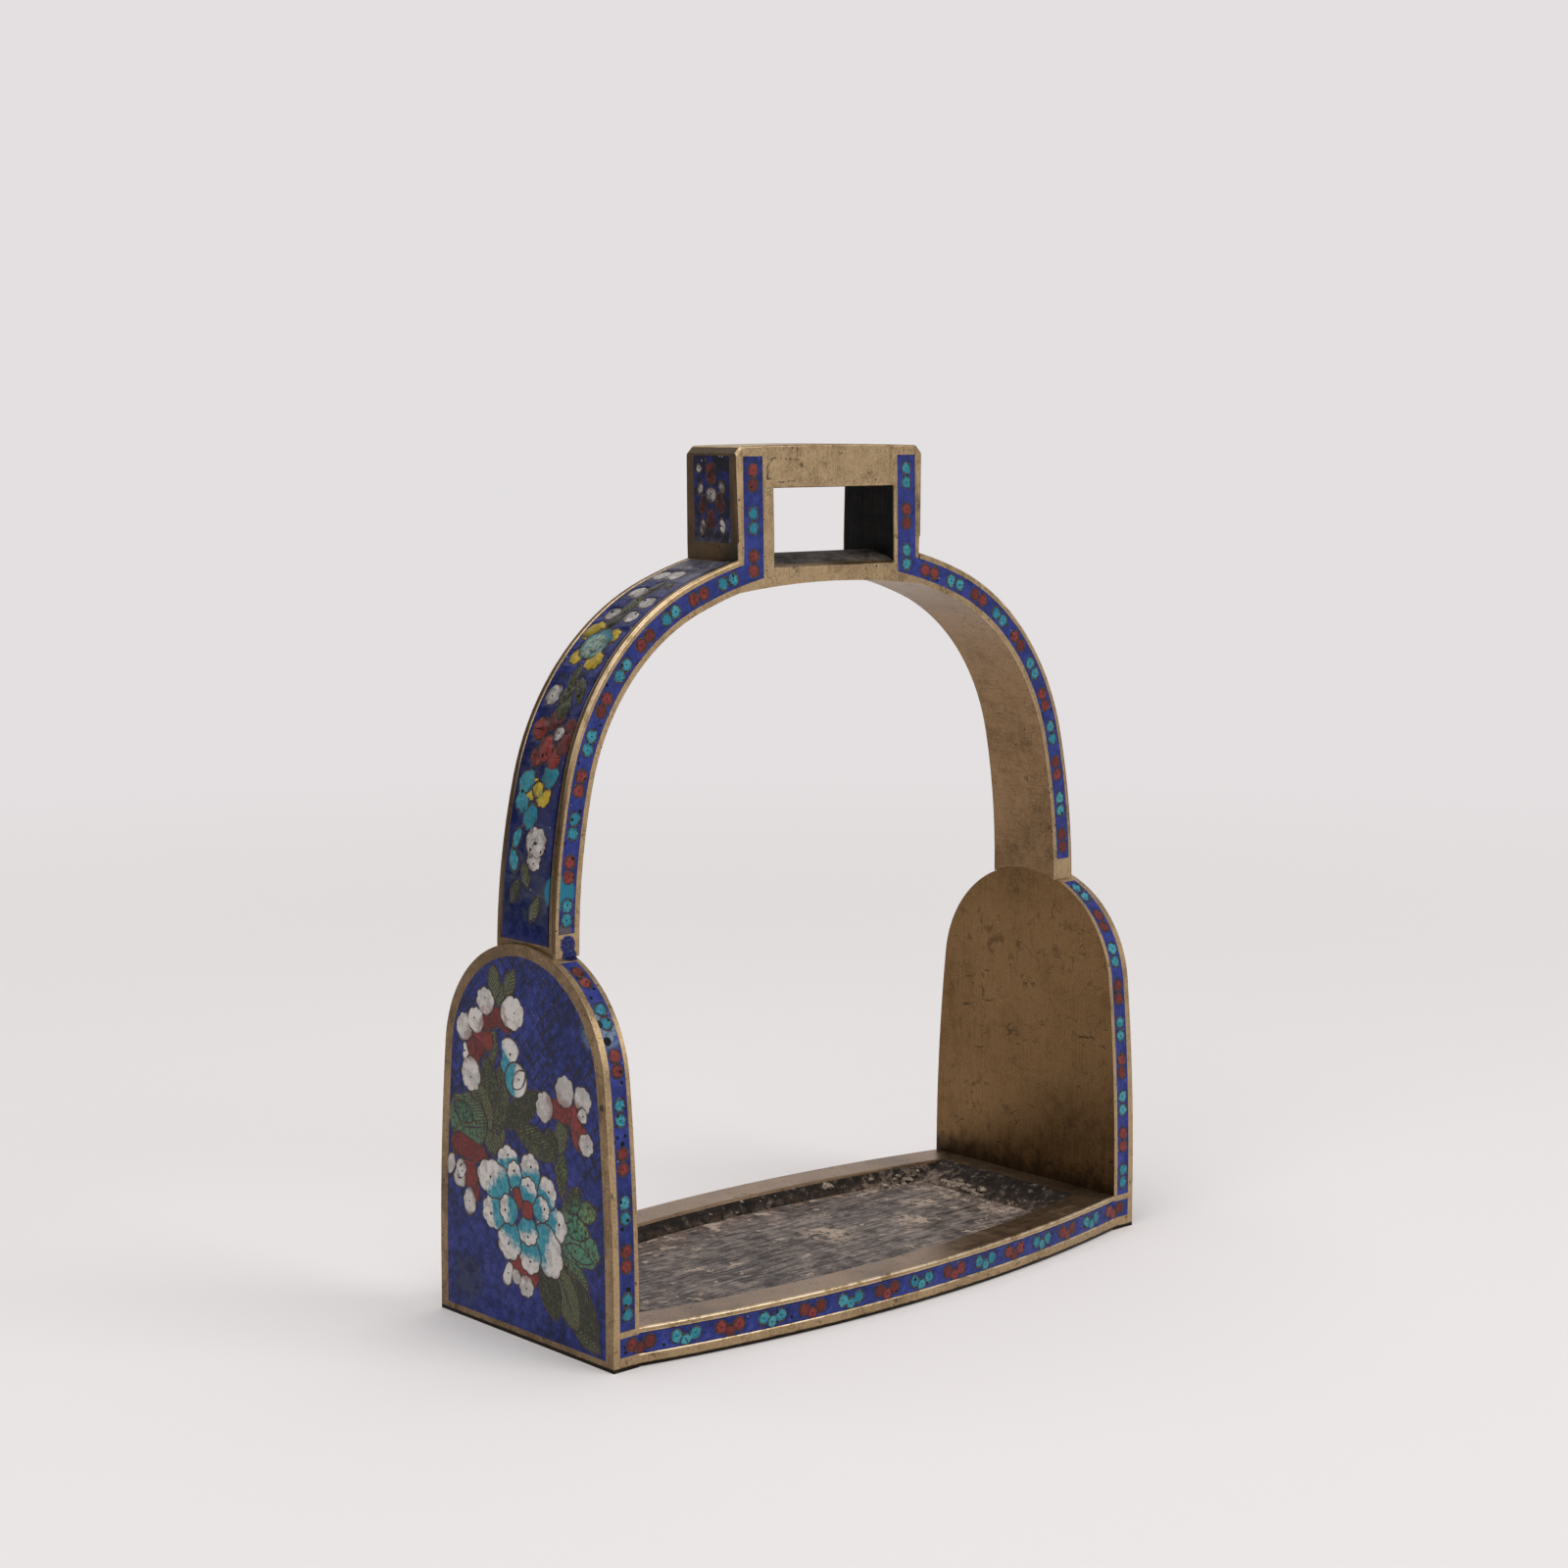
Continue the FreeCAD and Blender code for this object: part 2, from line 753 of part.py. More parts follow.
# Enamel pictures. A surface turns two lengths on a face into a point and three directions:
# along the face, across it and out of it.
def plate_surface(side):
    def place(across, up):
        point = Vector(side * half_span.value, across, up)
        return point, Vector(0, 1, 0), Vector(0, 0, 1), Vector(side, 0, 0)

    return place


def arc_frame(centre, radius, angle, side):
    """Point, forward direction and outward direction on an arc, the angle taken from the vertical."""
    out = Vector(side * math.sin(angle), 0, math.cos(angle))
    forward = Vector(side * math.cos(angle), 0, -math.sin(angle))
    point = Vector(side * centre[0].value, 0, centre[1].value) + out * radius
    return point, forward, out


first_angle = math.radians(start_angle.value)
second_angle = math.radians(end_angle.value)
crown_run = named["crown_radius"].value * first_angle
haunch_run = named["haunch_radius"].value * (second_angle - first_angle)
foot_angle = math.acos((named["plate_height"] - leg_centre[1]).value / named["leg_radius"].value)
leg_run = named["leg_radius"].value * (foot_angle - second_angle)
bow_run = crown_run + haunch_run + leg_run


def bow_frame(run, inset, side):
    """Frame on the bow's profile, a run along the outer curve away from the crown."""
    if run <= crown_run:
        radius = named["crown_radius"].value
        return arc_frame(crown_centre, radius - inset, run / radius, side)
    if run <= crown_run + haunch_run:
        radius = named["haunch_radius"].value
        return arc_frame(haunch_centre, radius - inset, first_angle + (run - crown_run) / radius, side)
    radius = named["leg_radius"].value
    angle = second_angle + (run - crown_run - haunch_run) / radius
    return arc_frame(leg_centre, radius - inset, angle, side)


def bow_surface(side):
    def place(run, across):
        point, forward, out = bow_frame(run, 0, side)
        return point + Vector(0, across, 0), forward, Vector(0, 1, 0), out

    return place


def loop_surface(side):
    def place(across, up):
        reach = half_shoulder.value + loop_lean.value * (up - named["slot_floor_height"].value)
        return Vector(side * reach, across, up), Vector(0, 1, 0), Vector(0, 0, 1), Vector(side, 0, 0)

    return place


def half_depth_at(up):
    """Half depth of bow and loop at a height, read from the same outline as their solids."""
    outline = [(across.value, height.value) for across, height in depth_outline(zero)[:4]]
    for (near, low), (far, high) in zip(outline, outline[1:]):
        if low <= up <= high:
            return near + (far - near) * (up - low) / (high - low)
    return outline[-1][0]


def bow_edge_surface(side, facing):
    middle = named["bow_thickness"].value / 2

    def place(run, across):
        point, forward, out = bow_frame(run, middle, side)
        point = point + out * across
        point.y = facing * half_depth_at(point.z)
        return point, forward, out, Vector(0, facing, 0)

    return place


def post_surface(side, facing):
    middle = (post_strip_inner + post_strip_outer).value / 2

    def place(up, across):
        point = Vector(side * (middle + across), facing * half_depth_at(up), up)
        return point, Vector(0, 0, 1), Vector(1, 0, 0), Vector(0, facing, 0)

    return place


strip_middle = (half_span - named["edge_outer_border"] - edge_strip_width / 2).value
head_angle = math.acos(head_cosine.value)
side_run = side_radius.value * head_angle
straight_run = (named["plate_straight_rise"] - edge_strip_low).value
head_end = math.acos(leg_strip_across.value / head_radius.value)
plate_run = straight_run + side_run + head_radius.value * (head_end - head_angle)


def plate_edge_surface(side, facing):
    def place(run, across):
        if run <= straight_run:
            angle = 0.0
            edge = Vector(0, half_plate.value, edge_strip_low.value + run)
        elif run <= straight_run + side_run:
            angle = (run - straight_run) / side_radius.value
            reach = side_centre.value + side_radius.value * math.cos(angle)
            edge = Vector(0, reach, named["plate_straight_rise"].value + side_radius.value * math.sin(angle))
        else:
            angle = head_angle + (run - straight_run - side_run) / head_radius.value
            reach = head_radius.value * math.cos(angle)
            edge = Vector(0, reach, head_centre.value + head_radius.value * math.sin(angle))
        out = Vector(0, facing * math.cos(angle), math.sin(angle))
        forward = Vector(0, -facing * math.sin(angle), math.cos(angle))
        point = Vector(side * (strip_middle + across), facing * edge.y, edge.z)
        return point, forward, Vector(1, 0, 0), out

    return place


foot_radius = arc_radius(plate_inner, foot_bulge).value
foot_centre = named["foot_middle_depth"].value / 2 - foot_radius
foot_strip_middle = (named["foot_strip_low"] + named["foot_strip_height"] / 2).value


def foot_edge_surface(facing):
    def place(run, across):
        inner = plate_inner.value
        if abs(run) <= inner:
            reach = math.sqrt(foot_radius * foot_radius - run * run)
            out = Vector(run, facing * reach, 0) / foot_radius
            point = Vector(run, facing * (foot_centre + reach), foot_strip_middle + across)
        else:
            out = Vector(0, facing, 0)
            point = Vector(run, facing * half_plate.value, foot_strip_middle + across)
        forward = Vector(abs(out.y), -facing * out.x, 0)
        return point, forward, Vector(0, 0, 1), out

    return place


# Cells. Each is drawn about its own middle, its long way at an angle to the surface's first direction.
def petal_edges(length, width, base_share, grow, at):
    """A petal: a round tip, a narrower round base and straight flanks."""
    tip = width / 2 + grow
    base = width * base_share / 2 + grow
    reach = (length - width / 2 - width * base_share / 2) / 2
    lean = (tip - base) / (2 * reach)
    rise = math.sqrt(1 - lean * lean)
    tip_up = at(reach + tip * lean, tip * rise)
    tip_low = at(reach + tip * lean, -tip * rise)
    base_up = at(-reach + base * lean, base * rise)
    base_low = at(-reach + base * lean, -base * rise)
    return [
        Part.Arc(tip_up, at(reach + tip, 0), tip_low).toShape(),
        Part.LineSegment(tip_low, base_low).toShape(),
        Part.Arc(base_low, at(-reach - base, 0), base_up).toShape(),
        Part.LineSegment(base_up, tip_up).toShape(),
    ]


leaf_point_share = 1.6


def leaf_edges(length, width, grow, at):
    """A leaf: two arcs that meet in a point at each end."""
    reach = length / 2 + grow * leaf_point_share
    half = width / 2 + grow
    return [
        Part.Arc(at(-reach, 0), at(0, half), at(reach, 0)).toShape(),
        Part.Arc(at(reach, 0), at(0, -half), at(-reach, 0)).toShape(),
    ]


def round_edges(width, grow, at):
    half = width / 2 + grow
    return [
        Part.Arc(at(-half, 0), at(0, half), at(half, 0)).toShape(),
        Part.Arc(at(half, 0), at(0, -half), at(-half, 0)).toShape(),
    ]


lobe_share = 0.07
lobe_turns = (-102, -64, -22, 22, 64, 102)


def lobed_edges(length, width, grow, at):
    """A petal with a scalloped rim: small arcs round its tip and one broad arc at its base."""
    def rim(turn, rise):
        angle = math.radians(turn)
        far = math.cos(angle) * length / 2
        aside = math.sin(angle) * width / 2
        slope = Vector(math.cos(angle) / length, math.sin(angle) / width, 0).normalize()
        return at(far + slope.x * (grow + rise), aside + slope.y * (grow + rise))

    edges = []
    for first, last in zip(lobe_turns, lobe_turns[1:]):
        crest = rim((first + last) / 2, width * lobe_share)
        edges.append(Part.Arc(rim(first, 0), crest, rim(last, 0)).toShape())
    edges.append(Part.Arc(rim(lobe_turns[-1], 0), rim(180, 0), rim(lobe_turns[0], 0)).toShape())
    return edges


petal_base_share = 0.66
prism_share = 3.0


def cell_prism(frame, kind, length, width, angle, grow):
    """The cell's outline pushed through the enamel, from above its face to below its floor."""
    origin, along, across, out = frame
    turn = math.radians(angle)
    first = along * math.cos(turn) + across * math.sin(turn)
    second = across * math.cos(turn) - along * math.sin(turn)
    lift = named["enamel_depth"].value
    top = origin + out * lift

    def at(far, aside):
        return top + first * far + second * aside

    if kind == "petal":
        edges = petal_edges(length, width, petal_base_share, grow, at)
    elif kind == "lobed":
        edges = lobed_edges(length, width, grow, at)
    elif kind == "leaf":
        edges = leaf_edges(length, width, grow, at)
    else:
        edges = round_edges(width, grow, at)
    face = Part.Face(Part.Wire(edges))
    return face.extrude(out * (-prism_share * lift))


def solids_of(shape):
    """The shape's solids, less any sliver too small to hold glass."""
    smallest = named["wire_width"].value ** 3
    return [solid for solid in shape.Solids if solid.Volume > smallest]


class Picture:
    """Cells laid into one enamel blank: fills sorted by colour, wires round them, and the ground left."""

    def __init__(self, blank):
        self.blank = blank.Shape
        self.taken = []
        self.fills = {}
        self.wires = []

    def add(self, frame, kind, colour, length, width, angle):
        grow = 0 if colour == "wire" else named["wire_width"].value
        outer = cell_prism(frame, kind, length, width, angle, grow)
        near = [other for other in self.taken if other.BoundBox.intersect(outer.BoundBox)]
        cell = self.blank.common(outer)
        if near:
            cell = cell.cut(near)
        if colour == "wire":
            self.wires.extend(solids_of(cell))
        else:
            inner = cell_prism(frame, kind, length, width, angle, 0)
            self.fills.setdefault(colour, []).extend(solids_of(cell.common(inner)))
            self.wires.extend(solids_of(cell.cut(inner)))
        self.taken.append(outer)

    def ground(self):
        return solids_of(self.blank.cut(self.taken))


def add_solids(label, solids):
    piece = doc.addObject("Part::Feature", label)
    piece.Label = label
    piece.Shape = solids[0] if len(solids) == 1 else Part.makeCompound(solids)
    subparts.append(piece)


# The flower spray on a side plate. Places are shares of the plate's half depth, towards the
# back, and of its height; lengths and widths are shares of its depth; angles are degrees from
# the back, turning up. What lies in front comes first. A cell whose colour is wire is a bare
# wire, such as a leaf's rib.
plate_cell_shares = [
    ("round", "red", -0.045, 0.335, 0.061, 0.0607, 0),
    ("petal", "red", 0.053, 0.356, 0.077, 0.0405, 60),
    ("lobed", "petals", -0.057, 0.383, 0.093, 0.0850, 92),
    ("lobed", "petals", -0.198, 0.349, 0.089, 0.0810, 172),
    ("lobed", "petals", 0.101, 0.412, 0.097, 0.0729, 86),
    ("lobed", "petals", 0.166, 0.322, 0.097, 0.0972, 338),
    ("lobed", "petals", -0.049, 0.285, 0.097, 0.1012, 270),
    ("lobed", "petals", 0.340, 0.387, 0.186, 0.1215, 6),
    ("lobed", "petals", 0.170, 0.425, 0.154, 0.1255, 84),
    ("lobed", "petals", -0.073, 0.426, 0.146, 0.1053, 97),
    ("lobed", "petals", -0.243, 0.387, 0.130, 0.1093, 128),
    ("lobed", "petals", 0.336, 0.305, 0.134, 0.1134, 338),
    ("lobed", "petals", 0.162, 0.245, 0.138, 0.1215, 288),
    ("lobed", "petals", -0.069, 0.224, 0.130, 0.1093, 268),
    ("lobed", "petals", -0.271, 0.251, 0.190, 0.1377, 238),
    ("lobed", "petals", -0.312, 0.319, 0.166, 0.1255, 180),
    ("lobed", "white", 0.421, 0.836, 0.093, 0.0891, 80),
    ("lobed", "white", 0.534, 0.782, 0.085, 0.0810, 50),
    ("lobed", "white", 0.668, 0.758, 0.085, 0.0891, 20),
    ("lobed", "white", 0.117, 0.823, 0.126, 0.1053, 165),
    ("lobed", "white", 0.603, 0.644, 0.117, 0.0972, 276),
    ("petal", "red", 0.583, 0.701, 0.093, 0.0648, 236),
    ("petal", "white", 0.644, 0.689, 0.073, 0.0688, 90),
    ("petal", "red", 0.251, 0.805, 0.138, 0.0850, 190),
    ("petal", "red", 0.381, 0.792, 0.117, 0.0931, 150),
    ("petal", "red", 0.453, 0.752, 0.146, 0.0972, 38),
    ("petal", "red", 0.510, 0.721, 0.101, 0.0850, 60),
    ("leaf", "white", 0.036, 0.660, 0.089, 0.0486, 135),
    ("round", "petals", 0.073, 0.657, 0.121, 0.1215, 0),
    ("petal", "petals", 0.158, 0.704, 0.138, 0.1134, 104),
    ("lobed", "white", -0.259, 0.610, 0.085, 0.0972, 5),
    ("lobed", "white", -0.668, 0.615, 0.045, 0.0445, 180),
    ("lobed", "white", -0.672, 0.652, 0.081, 0.0850, 140),
    ("lobed", "white", -0.478, 0.660, 0.101, 0.0891, 95),
    ("lobed", "white", -0.704, 0.546, 0.073, 0.0688, 200),
    ("petal", "red", -0.405, 0.613, 0.130, 0.0931, 180),
    ("petal", "red", -0.543, 0.615, 0.130, 0.1053, 210),
    ("petal", "red", -0.619, 0.578, 0.134, 0.0972, 240),
    ("leaf", "white", 0.870, 0.392, 0.089, 0.0486, 300),
    ("leaf", "white", 0.725, 0.382, 0.069, 0.0324, 310),
    ("petal", "white", 0.741, 0.380, 0.101, 0.0850, 285),
    ("leaf", "white", 0.636, 0.309, 0.101, 0.0688, 275),
    ("petal", "red", 0.623, 0.444, 0.211, 0.0891, 8),
    ("petal", "red", 0.628, 0.396, 0.130, 0.0850, 265),
    ("petal", "red", 0.591, 0.356, 0.109, 0.0648, 262),
    ("petal", "white", 0.186, 0.157, 0.085, 0.0486, 290),
    ("round", "white", 0.089, 0.154, 0.049, 0.0486, 0),
    ("lobed", "white", -0.024, 0.141, 0.073, 0.0729, 262),
    ("petal", "red", 0.008, 0.184, 0.166, 0.0891, 205),
    ("leaf", "green", 0.316, 0.892, 0.117, 0.0648, 84),
    ("leaf", "green", 0.138, 0.896, 0.109, 0.0567, 118),
    ("leaf", "green", 0.247, 0.858, 0.097, 0.0486, 95),
    ("leaf", "wire", 0.008, 0.585, 0.182, 0.0081, 141),
    ("leaf", "green", 0.004, 0.587, 0.251, 0.1012, 141),
    ("leaf", "wire", -0.146, 0.514, 0.182, 0.0081, 199),
    ("leaf", "green", -0.138, 0.516, 0.263, 0.0972, 200),
    ("leaf", "green", 0.696, 0.538, 0.117, 0.0729, 20),
    ("leaf", "wire", 0.591, 0.504, 0.162, 0.0081, 352),
    ("lobed", "green", 0.640, 0.520, 0.223, 0.1741, 4),
    ("leaf", "wire", 0.478, 0.573, 0.150, 0.0081, 58),
    ("leaf", "green", 0.470, 0.570, 0.198, 0.1012, 58),
    ("leaf", "green", 0.381, 0.635, 0.178, 0.0891, 72),
    ("leaf", "wire", 0.259, 0.601, 0.194, 0.0081, 97),
    ("leaf", "green", 0.259, 0.598, 0.263, 0.1012, 97),
    ("leaf", "wire", 0.348, 0.519, 0.121, 0.0081, 92),
    ("leaf", "green", 0.340, 0.516, 0.190, 0.1336, 92),
    ("leaf", "green", 0.340, 0.721, 0.130, 0.0486, 95),
    ("leaf", "green", -0.328, 0.523, 0.097, 0.0648, 70),
    ("leaf", "green", -0.441, 0.550, 0.138, 0.0688, 100),
    ("leaf", "green", -0.437, 0.459, 0.190, 0.0607, 88),
    ("leaf", "green", -0.571, 0.397, 0.105, 0.0729, 124),
    ("leaf", "green", -0.717, 0.379, 0.105, 0.0729, 172),
    ("leaf", "green", -0.502, 0.368, 0.097, 0.0567, 110),
    ("leaf", "green", -0.583, 0.333, 0.158, 0.0810, 190),
    ("leaf", "green", -0.628, 0.269, 0.146, 0.0526, 192),
    ("lobed", "green", -0.632, 0.285, 0.206, 0.1174, 188),
    ("leaf", "green", -0.462, 0.291, 0.190, 0.0688, 262),
    ("leaf", "wire", -0.304, 0.148, 0.142, 0.0081, 250),
    ("leaf", "green", -0.300, 0.148, 0.202, 0.1134, 250),
    ("leaf", "wire", -0.478, 0.154, 0.182, 0.0081, 240),
    ("leaf", "green", -0.478, 0.151, 0.259, 0.1255, 240),
    ("leaf", "wire", -0.656, 0.137, 0.182, 0.0081, 230),
    ("leaf", "green", -0.648, 0.137, 0.263, 0.1255, 228),
    ("leaf", "green", -0.575, 0.211, 0.174, 0.0810, 205),
    ("leaf", "green", -0.696, 0.066, 0.174, 0.0688, 205),
]

# The flowers down the bow. Places are shares of the outer curve's length from the crown and of
# the crown's half depth, towards the back; lengths and widths are shares of the crown's depth.
bow_cell_shares = [
    ("lobed", "white", 0.300, 0.489, 0.237, 0.207, 80),
    ("lobed", "white", 0.296, 0.059, 0.267, 0.222, 270),
    ("lobed", "white", 0.363, 0.326, 0.267, 0.193, 90),
    ("lobed", "white", 0.391, -0.415, 0.222, 0.200, 270),
    ("lobed", "white", 0.425, 0.326, 0.200, 0.193, 60),
    ("lobed", "white", 0.428, -0.400, 0.207, 0.178, 280),
    ("leaf", "green", 0.334, -0.356, 0.207, 0.104, 320),
    ("leaf", "green", 0.347, 0.000, 0.400, 0.133, 4),
    ("leaf", "green", 0.396, 0.015, 0.459, 0.163, 356),
    ("leaf", "green", 0.438, 0.030, 0.341, 0.163, 10),
    ("round", "turquoise", 0.500, -0.059, 0.163, 0.163, 0),
    ("lobed", "turquoise", 0.495, 0.030, 0.459, 0.415, 200),
    ("lobed", "yellow", 0.468, 0.430, 0.267, 0.311, 130),
    ("lobed", "yellow", 0.477, -0.326, 0.252, 0.237, 225),
    ("lobed", "yellow", 0.521, 0.356, 0.222, 0.207, 40),
    ("lobed", "yellow", 0.526, -0.326, 0.267, 0.252, 320),
    ("lobed", "white", 0.595, 0.444, 0.252, 0.222, 20),
    ("leaf", "green", 0.563, 0.000, 0.370, 0.133, 176),
    ("leaf", "green", 0.584, -0.474, 0.370, 0.148, 150),
    ("leaf", "green", 0.590, -0.030, 0.341, 0.148, 20),
    ("leaf", "green", 0.614, -0.133, 0.341, 0.207, 184),
    ("round", "white", 0.659, -0.326, 0.163, 0.163, 0),
    ("lobed", "red", 0.656, 0.400, 0.267, 0.252, 110),
    ("lobed", "red", 0.636, -0.059, 0.296, 0.237, 184),
    ("lobed", "red", 0.685, 0.000, 0.311, 0.252, 350),
    ("lobed", "red", 0.674, -0.622, 0.237, 0.267, 290),
    ("lobed", "red", 0.700, -0.370, 0.237, 0.222, 330),
    ("lobed", "red", 0.700, 0.237, 0.222, 0.222, 30),
    ("lobed", "red", 0.650, -0.622, 0.222, 0.193, 240),
    ("round", "yellow", 0.753, -0.030, 0.193, 0.193, 0),
    ("lobed", "turquoise", 0.743, 0.430, 0.245, 0.288, 136),
    ("lobed", "turquoise", 0.730, -0.400, 0.289, 0.247, 211),
    ("lobed", "yellow", 0.760, -0.237, 0.267, 0.252, 300),
    ("lobed", "yellow", 0.751, 0.178, 0.267, 0.237, 80),
    ("lobed", "turquoise", 0.773, 0.474, 0.252, 0.237, 50),
    ("lobed", "turquoise", 0.795, 0.119, 0.311, 0.237, 10),
    ("leaf", "wire", 0.837, -0.148, 0.178, 0.030, 20),
    ("lobed", "white", 0.835, -0.207, 0.356, 0.341, 300),
    ("lobed", "white", 0.862, -0.207, 0.252, 0.222, 350),
    ("leaf", "turquoise", 0.833, 0.533, 0.267, 0.133, 20),
    ("leaf", "turquoise", 0.869, 0.578, 0.281, 0.148, 340),
    ("leaf", "green", 0.889, 0.059, 0.296, 0.148, 160),
    ("leaf", "green", 0.917, 0.444, 0.281, 0.133, 200),
    ("leaf", "green", 0.941, -0.356, 0.311, 0.148, 24),
]

# The small spray on the loop's side. Places are shares of the panel's half depth and of its
# height; lengths and widths are shares of its depth.
loop_cell_shares = [
    ("round", "pale", 0.040, 0.550, 0.260, 0.260, 0),
    ("petal", "red", 0.040, 0.775, 0.380, 0.340, 90),
    ("petal", "red", -0.430, 0.470, 0.340, 0.230, 260),
    ("petal", "red", 0.470, 0.450, 0.320, 0.200, 282),
    ("petal", "red", 0.080, 0.280, 0.340, 0.240, 272),
    ("leaf", "pale", 0.640, 0.620, 0.220, 0.130, 110),
    ("leaf", "pale", -0.560, 0.640, 0.220, 0.130, 70),
    ("leaf", "pale", 0.560, 0.180, 0.260, 0.140, 100),
    ("leaf", "pale", -0.560, 0.190, 0.260, 0.150, 80),
    ("round", "pale", 0.700, 0.850, 0.130, 0.130, 0),
]

for side, side_name in side_names.items():
    surface = plate_surface(side)
    picture = Picture(blanks[side_name, "plate"])
    for kind, colour, back, up, length, width, angle in plate_cell_shares:
        frame = surface(back * half_plate.value, up * named["plate_height"].value)
        spread = named["plate_depth"].value
        picture.add(frame, kind, colour, length * spread, width * spread, angle)
    add_solids(f"{side_name}_plate_ground", picture.ground())
    add_solids(f"{side_name}_plate_flower_petals", picture.fills["petals"])
    add_solids(f"{side_name}_plate_white_petals", picture.fills["white"])
    add_solids(f"{side_name}_plate_red_calyxes", picture.fills["red"])
    add_solids(f"{side_name}_plate_green_leaves", picture.fills["green"])
    add_solids(f"{side_name}_plate_wires", picture.wires)

    surface = bow_surface(side)
    picture = Picture(blanks[side_name, "bow"])
    for kind, colour, run, back, length, width, angle in bow_cell_shares:
        frame = surface(run * bow_run, back * named["crown_depth"].value / 2)
        spread = named["crown_depth"].value
        picture.add(frame, kind, colour, length * spread, width * spread, angle)
    add_solids(f"{side_name}_bow_ground", picture.ground())
    for colour in ("white", "green", "yellow", "red", "turquoise"):
        add_solids(f"{side_name}_bow_{colour}_cells", picture.fills[colour])
    add_solids(f"{side_name}_bow_wires", picture.wires)

    surface = loop_surface(side)
    picture = Picture(blanks[side_name, "loop"])
    for kind, colour, back, up, length, width, angle in loop_cell_shares:
        spread = loop_panel_depth.value
        height = loop_panel_low.value + up * (loop_panel_high - loop_panel_low).value
        frame = surface(back * spread / 2, height)
        picture.add(frame, kind, colour, length * spread, width * spread, angle)
    add_solids(f"{side_name}_loop_ground", picture.ground())
    add_solids(f"{side_name}_loop_red_cells", picture.fills["red"])
    add_solids(f"{side_name}_loop_pale_cells", picture.fills["pale"])
    add_solids(f"{side_name}_loop_wires", picture.wires)

# Edge strips. Blossoms of paired petals, red and turquoise by turns, evenly along each strip.
# On the foot plate the pairs stand wider and a third, smaller petal shows behind and below them.
colours = ("red", "turquoise")
pair_aside_share = 0.08
small_petal_share = 0.85
small_petal_aside_share = -0.30


def add_pair(picture, surface, run, colour):
    size = named["blossom_petal"].value
    apart = named["pair_spread"].value / 2
    for step in (-apart, apart):
        picture.add(surface(run + step, 0), "round", colour, size, size, 0)


def add_foot_blossom(picture, surface, run, colour):
    size = named["blossom_petal"].value
    apart = named["foot_pair_spread"].value / 2
    for step in (-apart, apart):
        picture.add(surface(run + step, size * pair_aside_share), "round", colour, size, size, 0)
    small = size * small_petal_share
    picture.add(surface(run, size * small_petal_aside_share), "round", colour, small, small, 0)


def add_row(add_one, picture, surface, start, end, count, first_colour):
    pitch = (end - start) / count
    for number in range(count):
        colour = colours[(number + first_colour) % 2]
        add_one(picture, surface, start + pitch * number + pitch / 2, colour)


# The first colour of each strip differs from side to side, so that the colours go on taking
# turns where two strips meet.
foot_blossoms = 15
plate_blossoms = {-1: 8, 1: 9}
bow_blossoms = 11
post_blossoms = 3
bow_first_colour = {-1: 1, 1: 0}
post_first_colour = {-1: 0, 1: 1}
bend_share = 0.25

for facing, facing_name in facing_names.items():
    fills = {"red": [], "turquoise": []}
    wires = []

    def finish(picture, label):
        add_solids(label, picture.ground())
        for colour in colours:
            fills[colour].extend(picture.fills[colour])
        wires.extend(picture.wires)

    picture = Picture(blanks[facing_name, "foot"])
    reach = (half_span - named["edge_outer_border"]).value
    along = foot_edge_surface(facing)
    add_row(add_foot_blossom, picture, along, -reach, reach, foot_blossoms, 0)
    finish(picture, f"{facing_name}_foot_ground")
    for side, side_name in side_names.items():
        corner_name = f"{facing_name}_{side_name}"
        picture = Picture(blanks[corner_name, "plate"])
        along = plate_edge_surface(side, facing)
        add_row(add_pair, picture, along, 0, plate_run, plate_blossoms[side], 1)
        finish(picture, f"{corner_name}_plate_edge_ground")
        picture = Picture(blanks[corner_name, "bow"])
        bend = (post_strip_outer + named["post_strip_width"] * bend_share).value
        leg_end = bow_run - named["bow_strip_end_gap"].value
        along = bow_edge_surface(side, facing)
        add_row(add_pair, picture, along, bend, leg_end, bow_blossoms, bow_first_colour[side])
        post_low = crown_point(post_strip_inner, named["bow_thickness"])[1].value
        top = post_strip_top.value
        upright = post_surface(side, facing)
        add_row(add_pair, picture, upright, post_low, top, post_blossoms, post_first_colour[side])
        finish(picture, f"{corner_name}_bow_edge_ground")
    for colour in colours:
        add_solids(f"{facing_name}_{colour}_blossoms", fills[colour])
    add_solids(f"{facing_name}_strip_wires", wires)

doc.recompute()

for made in doc.Objects:
    if "Invalid" in made.State or "Error" in made.State:
        raise RuntimeError(f"{made.Label} did not build: {made.State}")
for piece in subparts:
    if piece.Shape.isNull() or not piece.Shape.isValid():
        raise RuntimeError(f"{piece.Label} has no valid shape")

os.makedirs("parts", exist_ok=True)
for piece in subparts:
    piece.Shape.exportStep(f"parts/{piece.Label}.step")
    print(piece.Label, len(piece.Shape.Solids), round(piece.Shape.Volume, 1))
print("sub-parts", len(subparts))
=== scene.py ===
import json
import math
import random

import bmesh
import bpy
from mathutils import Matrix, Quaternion, Vector, noise
from mathutils.bvhtree import BVHTree

